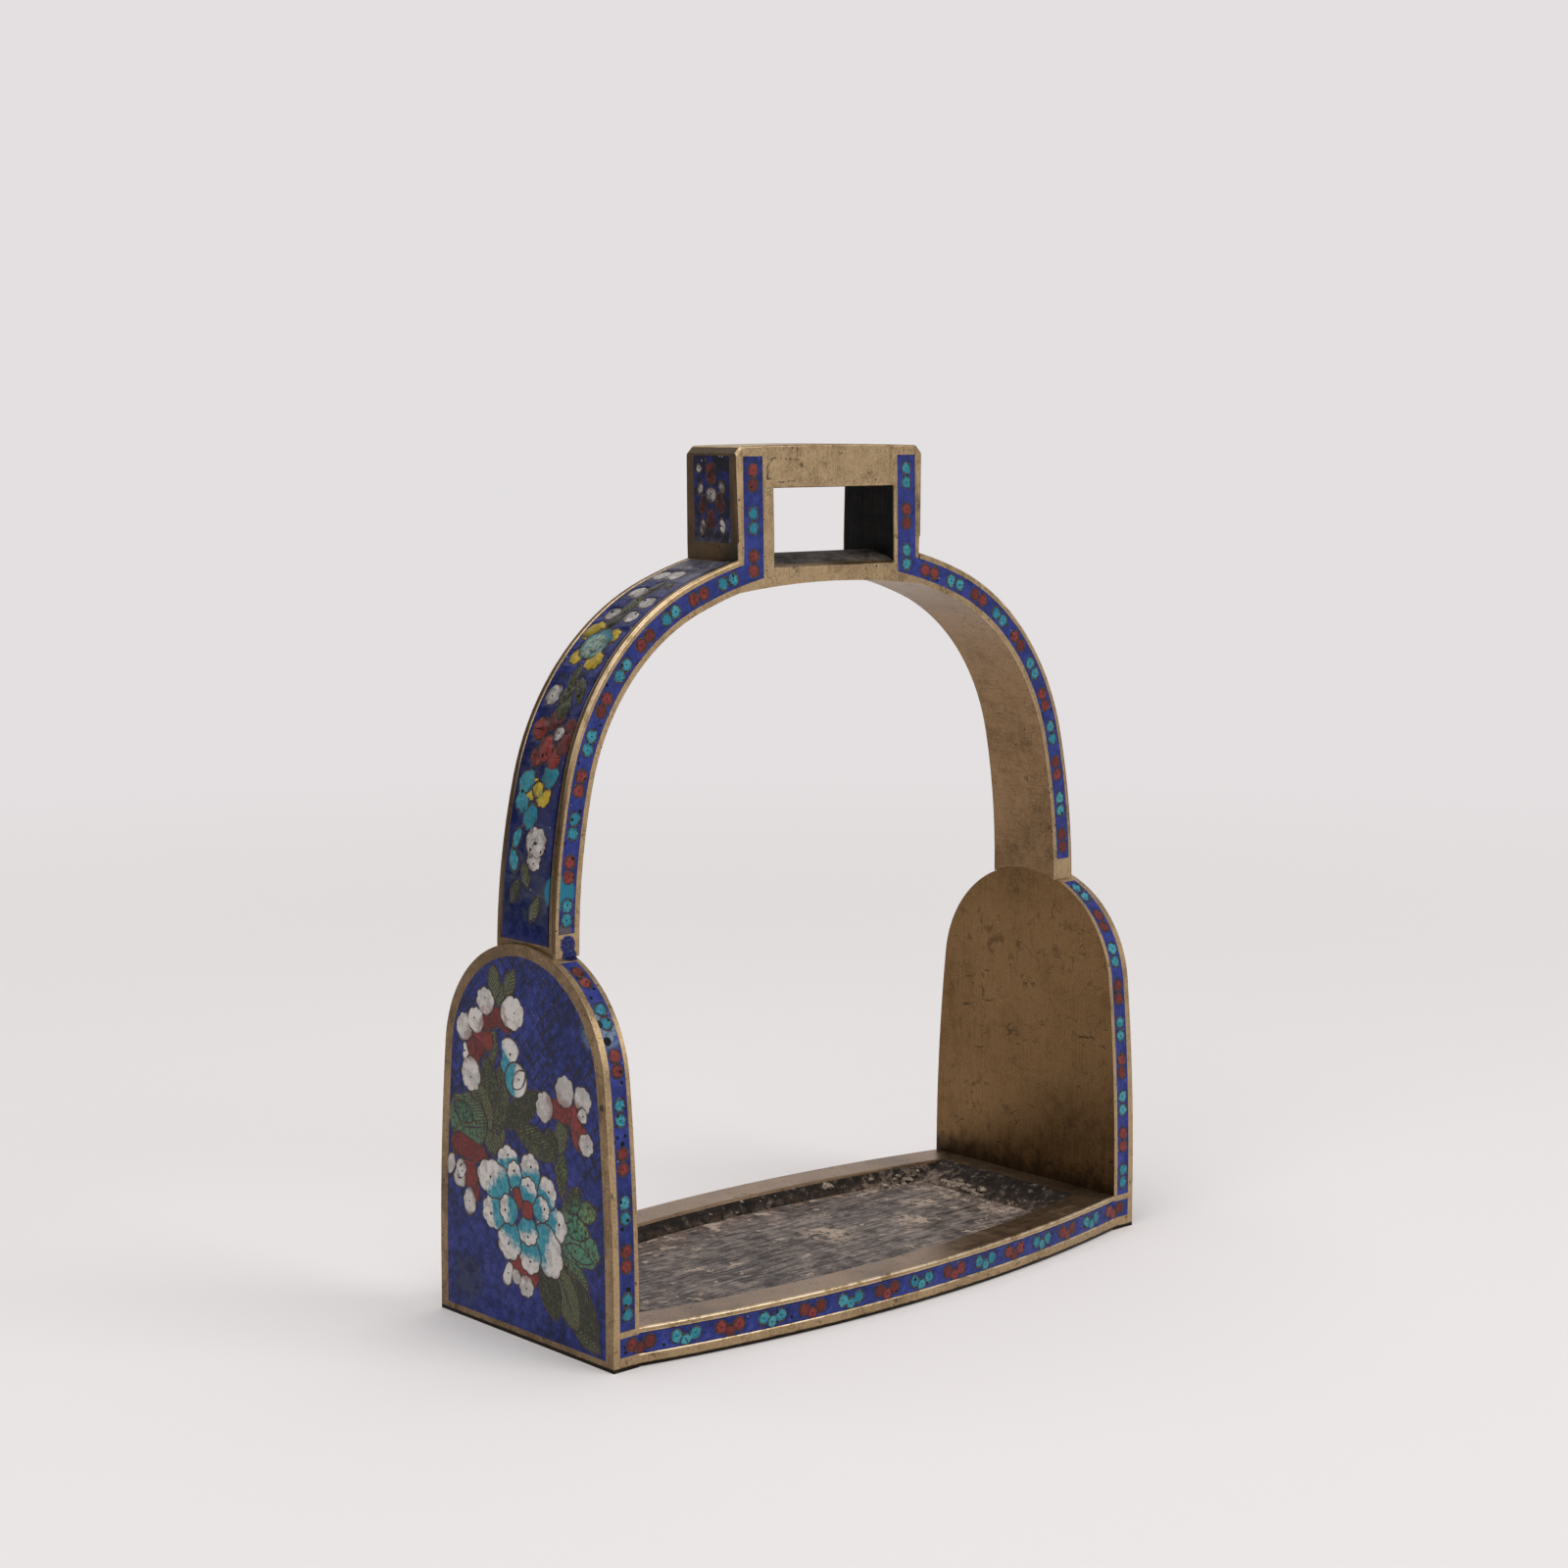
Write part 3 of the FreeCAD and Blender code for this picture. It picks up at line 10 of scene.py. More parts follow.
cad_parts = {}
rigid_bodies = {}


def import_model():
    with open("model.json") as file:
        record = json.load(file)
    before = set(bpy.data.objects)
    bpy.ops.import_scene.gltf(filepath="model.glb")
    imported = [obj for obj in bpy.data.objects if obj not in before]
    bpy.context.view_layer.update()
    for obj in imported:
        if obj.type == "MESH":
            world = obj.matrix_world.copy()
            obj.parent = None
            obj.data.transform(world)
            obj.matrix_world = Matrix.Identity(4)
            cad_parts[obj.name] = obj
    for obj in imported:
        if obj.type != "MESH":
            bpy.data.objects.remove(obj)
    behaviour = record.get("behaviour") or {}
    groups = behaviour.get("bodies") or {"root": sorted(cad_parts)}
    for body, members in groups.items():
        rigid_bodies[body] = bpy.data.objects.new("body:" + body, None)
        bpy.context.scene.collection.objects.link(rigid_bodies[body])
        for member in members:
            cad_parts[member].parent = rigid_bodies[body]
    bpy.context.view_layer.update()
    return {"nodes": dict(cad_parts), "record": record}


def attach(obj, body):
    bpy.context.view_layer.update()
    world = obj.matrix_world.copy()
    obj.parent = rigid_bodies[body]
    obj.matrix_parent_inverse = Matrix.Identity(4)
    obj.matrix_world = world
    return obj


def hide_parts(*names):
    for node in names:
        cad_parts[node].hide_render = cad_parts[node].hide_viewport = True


for leftover in list(bpy.data.objects):
    bpy.data.objects.remove(leftover)
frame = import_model()
nodes = frame["nodes"]
sides = ("left", "right")
facings = ("front", "back")
millimetre = 0.001
print("frame loaded,", len(nodes), "nodes")


# Shader maths: a Field is one socket of a material, so that sums on it read as plain maths.
class Field:
    def __init__(self, paint, socket):
        self.paint = paint
        self.socket = socket

    def joined(self, operation, left, right):
        return self.paint.node("ShaderNodeMath", {"operation": operation}, {0: left, 1: right})

    def __add__(self, other):
        return self.joined("ADD", self, other)

    def __radd__(self, other):
        return self.joined("ADD", other, self)

    def __sub__(self, other):
        return self.joined("SUBTRACT", self, other)

    def __rsub__(self, other):
        return self.joined("SUBTRACT", other, self)

    def __mul__(self, other):
        return self.joined("MULTIPLY", self, other)

    def __rmul__(self, other):
        return self.joined("MULTIPLY", other, self)

    def __truediv__(self, other):
        return self.joined("DIVIDE", self, other)

    def __rtruediv__(self, other):
        return self.joined("DIVIDE", other, self)

    def most(self, other):
        return self.joined("MAXIMUM", self, other)

    def rounded(self, operation):
        return self.paint.node("ShaderNodeMath", {"operation": operation}, {0: self})

    def over(self, low, high):
        # 0 below low and 1 above high, eased between them; low above high turns it round
        return self.eased(low, high, 0.0, 1.0)

    def eased(self, low, high, first, last):
        values = {0: self, 1: low, 2: high, 3: first, 4: last}
        return self.paint.node("ShaderNodeMapRange", {"interpolation_type": "SMOOTHSTEP"}, values)


class Paint:
    # the nodes of a material or a world; place is the point on the object in millimetres
    def __init__(self, owner, coordinates="Object", scale=1 / millimetre):
        owner.use_nodes = True
        self.owner = owner
        self.tree = owner.node_tree
        self.tree.nodes.clear()
        spot = self.node("ShaderNodeTexCoord", {}, {}, coordinates)
        self.place = self.node("ShaderNodeMapping", {}, {"Vector": spot, "Scale": (scale, scale, scale)})

    def node(self, kind, settings, values, output=0):
        made = self.tree.nodes.new(kind)
        for key, setting in settings.items():
            if key == "stops":
                stops = made.color_ramp.elements
                while len(stops) < len(setting):
                    stops.new(1.0)
                for stop, (position, colour) in zip(stops, setting):
                    stop.position = position
                    stop.color = (*colour, 1.0)
            else:
                setattr(made, key, setting)
        for key, value in values.items():
            if isinstance(value, Field):
                self.tree.links.new(value.socket, made.inputs[key])
            else:
                plainColour = made.inputs[key].type == "RGBA" and len(value) == 3
                made.inputs[key].default_value = (*value, 1.0) if plainColour else value
        return Field(self, made.outputs[output])

    def mapped(self, scale=(1, 1, 1), turn=(0, 0, 0)):
        turns = [math.radians(angle) for angle in turn]
        return self.node("ShaderNodeMapping", {}, {"Vector": self.place, "Scale": scale, "Rotation": turns})

    def noise(self, scale, detail=2.0, rough=0.5, at=None):
        return self.node(
            "ShaderNodeTexNoise", {},
            {"Vector": at or self.place, "Scale": scale, "Detail": detail, "Roughness": rough},
        )

    def lines(self, scale, width, at=None):
        # thin wandering lines, where a noise crosses its middle
        return (self.noise(scale, 2.0, 0.5, at) - 0.5).rounded("ABSOLUTE").over(width, 0.0)

    def spots(self, scale, size, share=1.0, edge=0.5):
        # round specks of mixed sizes: size is the largest one's radius as a share of a cell
        cells = {"Vector": self.place, "Scale": scale}
        reach = self.node("ShaderNodeTexVoronoi", {}, cells)
        chance = self.parts(self.node("ShaderNodeTexVoronoi", {}, cells, "Color"))[0]
        return (chance.over(1.0 - share, 1.0) * size - reach).over(0.0, size * edge)

    def parts(self, vector):
        return [self.node("ShaderNodeSeparateXYZ", {}, {0: vector}, i) for i in range(3)]

    def bothSides(self):
        # the point with its X made positive, so that one mark shows left and right
        x, y, z = self.parts(self.place)
        return self.node("ShaderNodeCombineXYZ", {}, {0: x.rounded("ABSOLUTE"), 1: y, 2: z})

    def near(self, point, radius, soft, at=None):
        # 1 within radius of the point, fading to 0 over soft, both in millimetres
        ends = {0: at or self.place, 1: point}
        reach = self.node("ShaderNodeVectorMath", {"operation": "DISTANCE"}, ends, 1)
        return reach.over(radius + soft, radius)

    def mix(self, share, first, second):
        settings = {"data_type": "RGBA", "clamp_factor": True}
        return self.node("ShaderNodeMix", settings, {0: share, 6: first, 7: second}, 2)

    def ramp(self, field, stops):
        return self.node("ShaderNodeValToRGB", {"stops": stops}, {0: field})

    def bump(self, height, strength, distance):
        values = {"Height": height, "Strength": strength, "Distance": distance * millimetre}
        return self.node("ShaderNodeBump", {}, values)

    def ray(self, kind):
        return self.node("ShaderNodeLightPath", {}, {}, kind)

    def show(self, shader, kind="ShaderNodeOutputMaterial"):
        end = self.tree.nodes.new(kind)
        self.tree.links.new(shader.socket, end.inputs["Surface"])
        return self.owner

    def finish(self, **sockets):
        values = {name.replace("_", " "): value for name, value in sockets.items()}
        return self.show(self.node("ShaderNodeBsdfPrincipled", {}, values))


def newPaint(name):
    return Paint(bpy.data.materials.new(name))


# Metals. Brush is the mapping's scale: small along the strokes and large across them.
upStrokes = (3.4, 3.4, 0.10)
longStrokes = (0.10, 3.0, 3.4)
acrossStrokes = (3.0, 0.10, 3.0)
# Some looks are lit and shaded copies of one brass, given to faces by the way they face: the front look is
# painted light, and the inner, under, side and rim looks are painted shade, each with its own brushing.
metalLooks = {
    "frontBrassLit": {
        "low": (0.215, 0.145, 0.075), "middle": (0.420, 0.295, 0.165), "high": (0.520, 0.375, 0.220),
        "blend": (0.22, 0.24, 0.36, 0.18),
        "brush": upStrokes, "roughness": 0.38, "pits": 0.75, "stains": 0.55,
        "metallic": 0.9,
    },
    "innerBrassShaded": {
        "low": (0.105, 0.056, 0.021), "middle": (0.218, 0.125, 0.051), "high": (0.310, 0.185, 0.085),
        "blend": (0.26, 0.22, 0.27, 0.25),
        "brush": upStrokes, "roughness": 0.36, "pits": 0.40, "stains": 0.45,
        "metallic": 0.9, "smudges": 0.75,
    },
    "underBrassShaded": {
        "low": (0.130, 0.074, 0.034), "middle": (0.270, 0.166, 0.082), "high": (0.370, 0.240, 0.130),
        "blend": (0.30, 0.24, 0.28, 0.18),
        "brush": acrossStrokes, "roughness": 0.36, "pits": 0.35, "stains": 0.45,
        "metallic": 0.9, "smudges": 0.35,
    },
    "sideBrassShaded": {
        "low": (0.090, 0.054, 0.027), "middle": (0.250, 0.165, 0.088), "high": (0.420, 0.295, 0.175),
        "blend": (0.34, 0.30, 0.24, 0.12),
        "brush": upStrokes, "roughness": 0.42, "pits": 0.60, "stains": 0.60,
        "metallic": 0.88,
    },
    "rimBrassShaded": {
        "low": (0.125, 0.080, 0.046), "middle": (0.285, 0.192, 0.118), "high": (0.385, 0.272, 0.175),
        "blend": (0.36, 0.24, 0.22, 0.18),
        "brush": longStrokes, "roughness": 0.37, "pits": 0.40, "stains": 0.60,
        "metallic": 0.92,
    },
    # the arrises: the metal's worn polish, made brighter as a painted highlight
    "wornArrisAndHighlight": {
        "low": (0.235, 0.155, 0.078), "middle": (0.480, 0.340, 0.190), "high": (0.640, 0.480, 0.290),
        "blend": (0.25, 0.30, 0.30, 0.15),
        "brush": longStrokes, "roughness": 0.36, "pits": 0.50, "stains": 0.50,
        "metallic": 0.92,
    },
    "darkPlug": {
        "low": (0.020, 0.012, 0.008), "middle": (0.070, 0.042, 0.026), "high": (0.120, 0.075, 0.045),
        "blend": (0.30, 0.28, 0.20, 0.22),
        "brush": upStrokes, "roughness": 0.45, "pits": 0.50, "stains": 0.60,
        "metallic": 0.7,
    },
}
metalTones = {
    "grime": (0.022, 0.015, 0.010),
    "contact": (0.008, 0.006, 0.005),
    "smudge": (0.035, 0.022, 0.012),
    "smear": (0.060, 0.040, 0.024),
    "solder": (0.150, 0.145, 0.140),
    "patina": (0.060, 0.080, 0.055),
    "glassRun": (0.020, 0.026, 0.125),
    "legShade": (0.060, 0.039, 0.021),
    "shoulderHighlight": (0.760, 0.590, 0.390),
    "footHighlight": (0.800, 0.660, 0.480),
    "loopSoot": (0.030, 0.026, 0.024),
}
# Each noise gives its scale in cells to the millimetre, its detail and its roughness.
metalNoises = {
    "broad": (0.06, 3.0, 0.55), "cloudy": (0.36, 4.0, 0.62), "grain": (2.6, 2.0, 0.7),
    "hairs": (1.0, 3.0, 0.7), "clumps": (0.16, 3.0, 0.6), "smudges": (1.0, 3.0, 0.65),
    "smears": (0.8, 5.0, 0.75), "run": (0.9, 3.0, 0.6), "wander": (0.5, 3.0, 0.6), "breaks": (0.45, 3.0, 0.6),
}
# Places of marks on the metal, in millimetres; a pair is where a mark begins and where it is full.
metalMarks = {
    "patchMiddle": (-11.3, -6.6, 151.0),
    "patchHalfWidth": 4.2,
    "patchHalfHeight": 2.1,
    "patchDepth": (1.2, 1.0),
    "patchWander": 0.7,
    "patchLine": (0.09, 0.02),
    "greenStains": ((22.4, -6.6, 140.0), (22.6, -6.6, 144.2)),
    "stainRadius": 0.6,
    "stainEdge": 1.6,
    "legGlass": ((-62.9, -7.7, 70.9), (-62.6, -7.7, 68.8)),
    "runRadius": 1.5,
    "runEdge": 0.3,
    "standingShadow": (0.95, 0.75),
    "standingWander": 0.3,
    "arrisShadow": (0.60, 0.45),
    "footSmears": (9.0, 7.0),
    "legShadeUnder": (108.0, 92.0),
    "legShadeOver": (66.0, 70.0),
    "shoulderOver": (103.0, 112.0),
    "shoulderUnder": (133.0, 124.0),
    "shoulderFront": (0.0, -3.0),
    "footHighlight": (14.0, 9.0),
    "plateHead": (54.0, 66.0),
    "loopOver": (131.0, 134.0),
    "loopUnder": (152.0, 136.0),
    "cornerShade": (13.0, 7.0),
    "cornerWander": 9.0,
}


def makeBrass(name):
    look = metalLooks[name]
    paint = newPaint(name)
    kinds = ("broad", "cloudy", "grain", "clumps")
    broad, cloudy, grain, clumps = (paint.noise(*metalNoises[kind]) for kind in kinds)
    hairs = paint.noise(*metalNoises["hairs"], paint.mapped(look["brush"]))
    shares = look["blend"]
    tone = broad * shares[0] + cloudy * shares[1] + grain * shares[2] + hairs * shares[3]
    colour = paint.ramp(tone, [(0.38, look["low"]), (0.50, look["middle"]), (0.62, look["high"])])
    stains = (cloudy * 0.45 + broad * 0.35 + hairs * 0.20).over(0.56, 0.64)
    colour = paint.mix(stains * look["stains"], colour, look["low"])
    if "smudges" in look:
        # short dark marks that lie level
        marks = paint.noise(*metalNoises["smudges"], paint.mapped((0.5, 0.22, 0.95))).over(0.645, 0.73)
        colour = paint.mix(marks * look["smudges"], colour, metalTones["smudge"])
    clumps = clumps.over(0.44, 0.60)
    pits = paint.spots(1.15, 0.27, look["pits"], 0.3) * clumps.most(0.25)
    specks = paint.spots(2.7, 0.26, 0.40)
    scratches = paint.lines(0.22, 0.012, paint.mapped(turn=(20, 15, 0))) * clumps * 0.6
    colour = paint.mix((pits + specks * 0.4 + scratches), colour, metalTones["grime"])
    roughness = look["roughness"] + (hairs - 0.5) * 0.25 + (cloudy - 0.5) * 0.30 + stains * 0.18 + pits * 0.2
    height = hairs * 0.3 + grain * 0.35 + cloudy * 0.5 - pits * 1.6 - specks * 0.6 - scratches
    z = paint.parts(paint.place)[2]
    if name in ("frontBrassLit", "sideBrassShaded"):
        # painted contact shadow along the edge that the stirrup stands on
        low = (z + cloudy * metalMarks["standingWander"]).over(*metalMarks["standingShadow"])
        colour = paint.mix(low * 0.97, colour, metalTones["contact"])
    if name == "frontBrassLit":
        outline = repairOutline(paint)
        colour = markFront(paint, paint.mix(outline * 0.75, colour, metalTones["grime"]), cloudy, grain)
        height = height - outline * 0.8
    if name == "wornArrisAndHighlight":
        colour = markArris(paint, colour, cloudy)
    if name == "sideBrassShaded":
        dulled = z.over(*metalMarks["plateHead"]) * cloudy.over(0.36, 0.58) * 0.55
        colour = paint.mix(dulled, colour, look["low"])
        sooty = z.over(*metalMarks["loopOver"]) * (z.over(*metalMarks["loopUnder"]) * 0.5 + 0.4)
        colour = paint.mix(sooty * broad.over(0.30, 0.55), colour, metalTones["loopSoot"])
    if name == "innerBrassShaded":
        # painted shade: darker towards the corner over the foot plate
        dirt = (z + (cloudy - 0.5) * metalMarks["cornerWander"]).over(*metalMarks["cornerShade"])
        colour = paint.mix(dirt * 0.75, colour, metalTones["grime"])
        roughness = roughness + dirt * 0.15
    bump = paint.bump(height, 0.30, 0.05)
    return paint.finish(Base_Color=colour, Metallic=look["metallic"], Roughness=roughness, Normal=bump)


def repairOutline(paint):
    # a repair's dark, broken outline on the loop's top bar
    ends = {0: paint.place, 1: metalMarks["patchMiddle"]}
    x, y, z = paint.parts(paint.node("ShaderNodeVectorMath", {"operation": "SUBTRACT"}, ends))
    x, z = x / metalMarks["patchHalfWidth"], z / metalMarks["patchHalfHeight"]
    rounded = (x * x * x * x + z * z * z * z).rounded("SQRT").rounded("SQRT")
    wander = (paint.noise(*metalNoises["wander"]) - 0.5) * metalMarks["patchWander"]
    line = (rounded - 1.0 + wander).rounded("ABSOLUTE").over(*metalMarks["patchLine"])
    line = line * y.rounded("ABSOLUTE").over(*metalMarks["patchDepth"])
    return line * paint.noise(*metalNoises["breaks"]).over(0.44, 0.56)


def markFront(paint, colour, cloudy, grain):
    # green stains by the loop's edge
    for point in metalMarks["greenStains"]:
        stain = paint.near(point, metalMarks["stainRadius"], metalMarks["stainEdge"])
        stain = stain * cloudy.over(0.35, 0.55)
        colour = paint.mix(stain * 0.8, colour, metalTones["patina"])
    # the glass has run down over the metal at the left leg's foot, with grey solder in it
    for point in metalMarks["legGlass"]:
        run = paint.near(point, metalMarks["runRadius"], metalMarks["runEdge"])
        run = run * paint.noise(*metalNoises["run"]).over(0.28, 0.34)
        mixed = paint.mix(grain.over(0.52, 0.66) * 0.7, metalTones["glassRun"], metalTones["solder"])
        colour = paint.mix(run, colour, mixed)
    # deep dirt along the foot's front and back faces
    low = paint.parts(paint.place)[2].over(*metalMarks["footSmears"])
    smears = low * paint.noise(*metalNoises["smears"], paint.mapped((0.5, 1.0, 1.0))).over(0.57, 0.66)
    return paint.mix(smears * 0.75, colour, metalTones["smear"])


def markArris(paint, colour, cloudy):
    # painted shade on the legs, painted highlights on the front shoulders and along the foot, and a painted
    # contact shadow where it stands
    x, y, z = paint.parts(paint.place)
    leg = z.over(*metalMarks["legShadeUnder"]) * z.over(*metalMarks["legShadeOver"])
    colour = paint.mix(leg * 0.85, colour, metalTones["legShade"])
    shoulder = z.over(*metalMarks["shoulderOver"]) * z.over(*metalMarks["shoulderUnder"])
    shoulder = shoulder * cloudy.over(0.34, 0.58) * y.over(*metalMarks["shoulderFront"])
    colour = paint.mix(shoulder * 0.7, colour, metalTones["shoulderHighlight"])
    foot = z.over(*metalMarks["footHighlight"]) * cloudy.over(0.36, 0.56)
    colour = paint.mix(foot * 0.6, colour, metalTones["footHighlight"])
    return paint.mix(z.over(*metalMarks["arrisShadow"]) * 0.97, colour, metalTones["contact"])


# Metal in near-black tones: the slot's inside and the walls of the tread's recess.
blackenedLooks = {
    "slotWall": {
        "low": (0.001, 0.001, 0.001), "high": (0.020, 0.018, 0.017),
        "brush": upStrokes, "crust": 0.0,
    },
    "slotFloor": {
        "low": (0.010, 0.008, 0.007), "high": (0.140, 0.117, 0.102),
        "brush": longStrokes, "crust": 0.1,
    },
    "recessWall": {
        "low": (0.004, 0.003, 0.002), "high": (0.034, 0.025, 0.020),
        "brush": longStrokes, "crust": 0.85,
    },
}
# Pale dust clings in the corners of the recess's right end, and brown dirt low on its walls.
recessDirt = {
    "corner": (46.0, 19.0, 4.5),
    "cornerRadius": 5.0,
    "cornerEdge": 14.0,
    "rightEnd": (20.0, 56.0),
    "low": (6.0, 4.2),
    "brown": (0.085, 0.052, 0.036),
    "pale": (0.30, 0.225, 0.175),
}


def makeBlackened(name):
    look = blackenedLooks[name]
    paint = newPaint(name)
    x, y, z = paint.parts(paint.place)
    cloudy = paint.noise(0.30, 4.0, 0.65)
    grain = paint.noise(1.8, 3.0, 0.7)
    hairs = paint.noise(1.0, 3.0, 0.7, paint.mapped(look["brush"]))
    tone = cloudy * 0.4 + grain * 0.25 + hairs * 0.35
    colour = paint.ramp(tone, [(0.42, look["low"]), (0.60, look["high"])])
    ends = paint.near(recessDirt["corner"], recessDirt["cornerRadius"], recessDirt["cornerEdge"]) * 0.10
    ends = ends + x.over(*recessDirt["rightEnd"]) * 0.03
    low = z.over(*recessDirt["low"]) * look["crust"]
    brown = low * paint.noise(0.5, 4.0, 0.7).over(0.42, 0.62) * 0.8
    colour = paint.mix(brown, colour, recessDirt["brown"])
    crust = (paint.noise(0.55, 4.0, 0.65) + ends + low * 0.05).over(0.54, 0.84) * look["crust"]
    colour = paint.mix(crust, colour, recessDirt["pale"])
    bump = paint.bump(cloudy * 0.8 + grain * 0.4 + hairs * 0.3 + crust * 1.2, 0.6, 0.16)
    roughness = 0.55 + (cloudy * 0.3) + (crust * 0.2)
    return paint.finish(Base_Color=colour, Roughness=roughness, Specular_IOR_Level=0.20, Normal=bump)


# The trodden floor: its tones from scratch to high spot, and the flakes of pale dirt with their reach.
treadMarks = {
    "tones": (
        (0.440, (0.014, 0.010, 0.009)), (0.480, (0.066, 0.051, 0.045)), (0.515, (0.140, 0.113, 0.100)),
        (0.570, (0.300, 0.245, 0.210)),
    ),
    "streaks": ((0.085, 0.85, 1.0), (0, 0, 3)),
    "fineStreaks": ((0.20, 1.9, 1.0), (0, 0, -4)),
    "rightward": (-60.0, 55.0),
    "backEdge": (9.0, 23.5),
    "rightEnd": (34.0, 49.0),
    "patches": (
        ((8.0, 2.0, 4.0), 5.0), ((27.0, -2.0, 4.0), 4.0), ((36.0, 6.0, 4.0), 3.0), ((45.0, -9.0, 4.0), 3.0),
    ),
    "flakes": ((0.8, 0.8, 1.0), (0, 0, -25)),
    "rustBack": (10.0, 22.0),
    "rustRight": (38.0, 50.0),
    "pale": (0.52, 0.41, 0.33),
    "dirt": (0.030, 0.024, 0.020),
    "rust": (0.165, 0.090, 0.066),
}


def makeTread():
    paint = newPaint("troddenFloor")
    x, y, z = paint.parts(paint.place)
    streaks = paint.noise(1.0, 4.0, 0.75, paint.mapped(*treadMarks["streaks"]))
    fineStreaks = paint.noise(1.0, 3.0, 0.7, paint.mapped(*treadMarks["fineStreaks"]))
    broad = paint.noise(0.07, 2.0, 0.5)
    grain = paint.noise(1.8, 3.0, 0.7)
    mottle = paint.noise(0.35, 4.0, 0.7)
    tone = streaks * 0.23 + fineStreaks * 0.32 + mottle * 0.25 + broad * 0.10 + grain * 0.10
    colour = paint.ramp(tone + x.over(*treadMarks["rightward"]) * 0.012, treadMarks["tones"])
    reach = y.over(*treadMarks["backEdge"]).most(x.over(*treadMarks["rightEnd"]))
    crust = (paint.noise(0.30, 4.0, 0.7) * 0.8 + streaks * 0.2 + reach * 0.07).over(0.57, 0.63)
    flakes = paint.noise(0.55, 4.0, 0.7, paint.mapped(*treadMarks["flakes"])).over(0.47, 0.52)
    for middle, size in treadMarks["patches"]:
        crust = crust.most(paint.near(middle, size * 0.5, size) * flakes)
    colour = paint.mix(crust * 0.90, colour, treadMarks["pale"])
    colour = paint.mix(paint.noise(0.5, 3.0, 0.6).over(0.60, 0.72) * 0.5, colour, treadMarks["dirt"])
    rusty = y.over(*treadMarks["rustBack"]).most(x.over(*treadMarks["rustRight"]))
    rusty = rusty * paint.noise(0.22, 4.0, 0.65).over(0.46, 0.60)
    colour = paint.mix(rusty * 0.55, colour, treadMarks["rust"])
    bump = paint.bump(streaks * 0.9 + fineStreaks * 0.5 + grain * 0.2 + crust * 0.7, 0.8, 0.30)
    rough = 0.58 + (crust * 0.3)
    return paint.finish(Base_Color=colour, Metallic=0.1, Roughness=rough, Specular_IOR_Level=0.35, Normal=bump)


# Tones of the wires, of the dark seams round the glass and of dried dirt, from low to high.
plainTones = {
    "wire": ((0.35, (0.024, 0.013, 0.009)), (0.60, (0.075, 0.040, 0.025)), (0.78, (0.20, 0.13, 0.075))),
    "runOver": (0.020, 0.020, 0.055),
    "seam": ((0.42, (0.012, 0.008, 0.006)), (0.66, (0.110, 0.075, 0.042))),
    "crust": ((0.36, (0.10, 0.075, 0.055)), (0.50, (0.30, 0.235, 0.18)), (0.66, (0.50, 0.41, 0.32))),
}


def makeWire():
    paint = newPaint("dulledWire")
    colour = paint.ramp(paint.noise(1.5, 2.0, 0.6), plainTones["wire"])
    # here and there the glass has run over the wire
    hidden = paint.noise(0.55, 3.0, 0.6).over(0.50, 0.56)
    colour = paint.mix(hidden * 0.75, colour, plainTones["runOver"])
    return paint.finish(Base_Color=colour, Metallic=0.35, Roughness=0.45)


def makeSeam():
    paint = newPaint("darkSeam")
    colour = paint.ramp(paint.noise(0.9, 3.0, 0.6), plainTones["seam"])
    return paint.finish(Base_Color=colour, Metallic=0.5, Roughness=0.55)


def makeCrust():
    paint = newPaint("driedDirt")
    tone = paint.noise(1.6, 3.0, 0.7)
    colour = paint.ramp(tone, plainTones["crust"])
    return paint.finish(Base_Color=colour, Roughness=0.85, Normal=paint.bump(tone, 0.6, 0.2))


# Glass enamels. Colours are linear.
glass = {
    "blueDeep": (0.003, 0.009, 0.062),
    "blue": (0.013, 0.024, 0.165),
    "blueHazy": (0.034, 0.048, 0.250),
    "blueWorn": (0.003, 0.007, 0.030),
    "white": (0.66, 0.615, 0.58),
    "whiteGrey": (0.42, 0.39, 0.37),
    "pinkGrey": (0.30, 0.18, 0.17),
    "turquoise": (0.012, 0.175, 0.255),
    "turquoiseLight": (0.060, 0.310, 0.380),
    "red": (0.250, 0.038, 0.034),
    "redDark": (0.110, 0.018, 0.016),
    "green": (0.140, 0.150, 0.080),
    "greenDark": (0.034, 0.040, 0.020),
    "greenTurquoise": (0.075, 0.260, 0.170),
    "greenYellow": (0.170, 0.240, 0.080),
    "yellow": (0.54, 0.38, 0.035),
    "pit": (0.004, 0.004, 0.005),
    "fret": (0.012, 0.010, 0.016),
    "film": (0.060, 0.042, 0.034),
    "soot": (0.012, 0.010, 0.010),
    "grit": (0.42, 0.39, 0.36),
    "bare": (0.095, 0.088, 0.088),
    "haze": (0.200, 0.270, 0.330),
    "blueBow": (0.001, 0.006, 0.058),
    "blueStripLit": (0.030, 0.050, 0.270),
    "sootyBlue": (0.030, 0.035, 0.045),
    "greyRun": (0.10, 0.085, 0.09),
    "vein": (0.016, 0.018, 0.012),
    "heart": (0.360, 0.440, 0.330),
    "petalRim": (0.10, 0.09, 0.09),
}

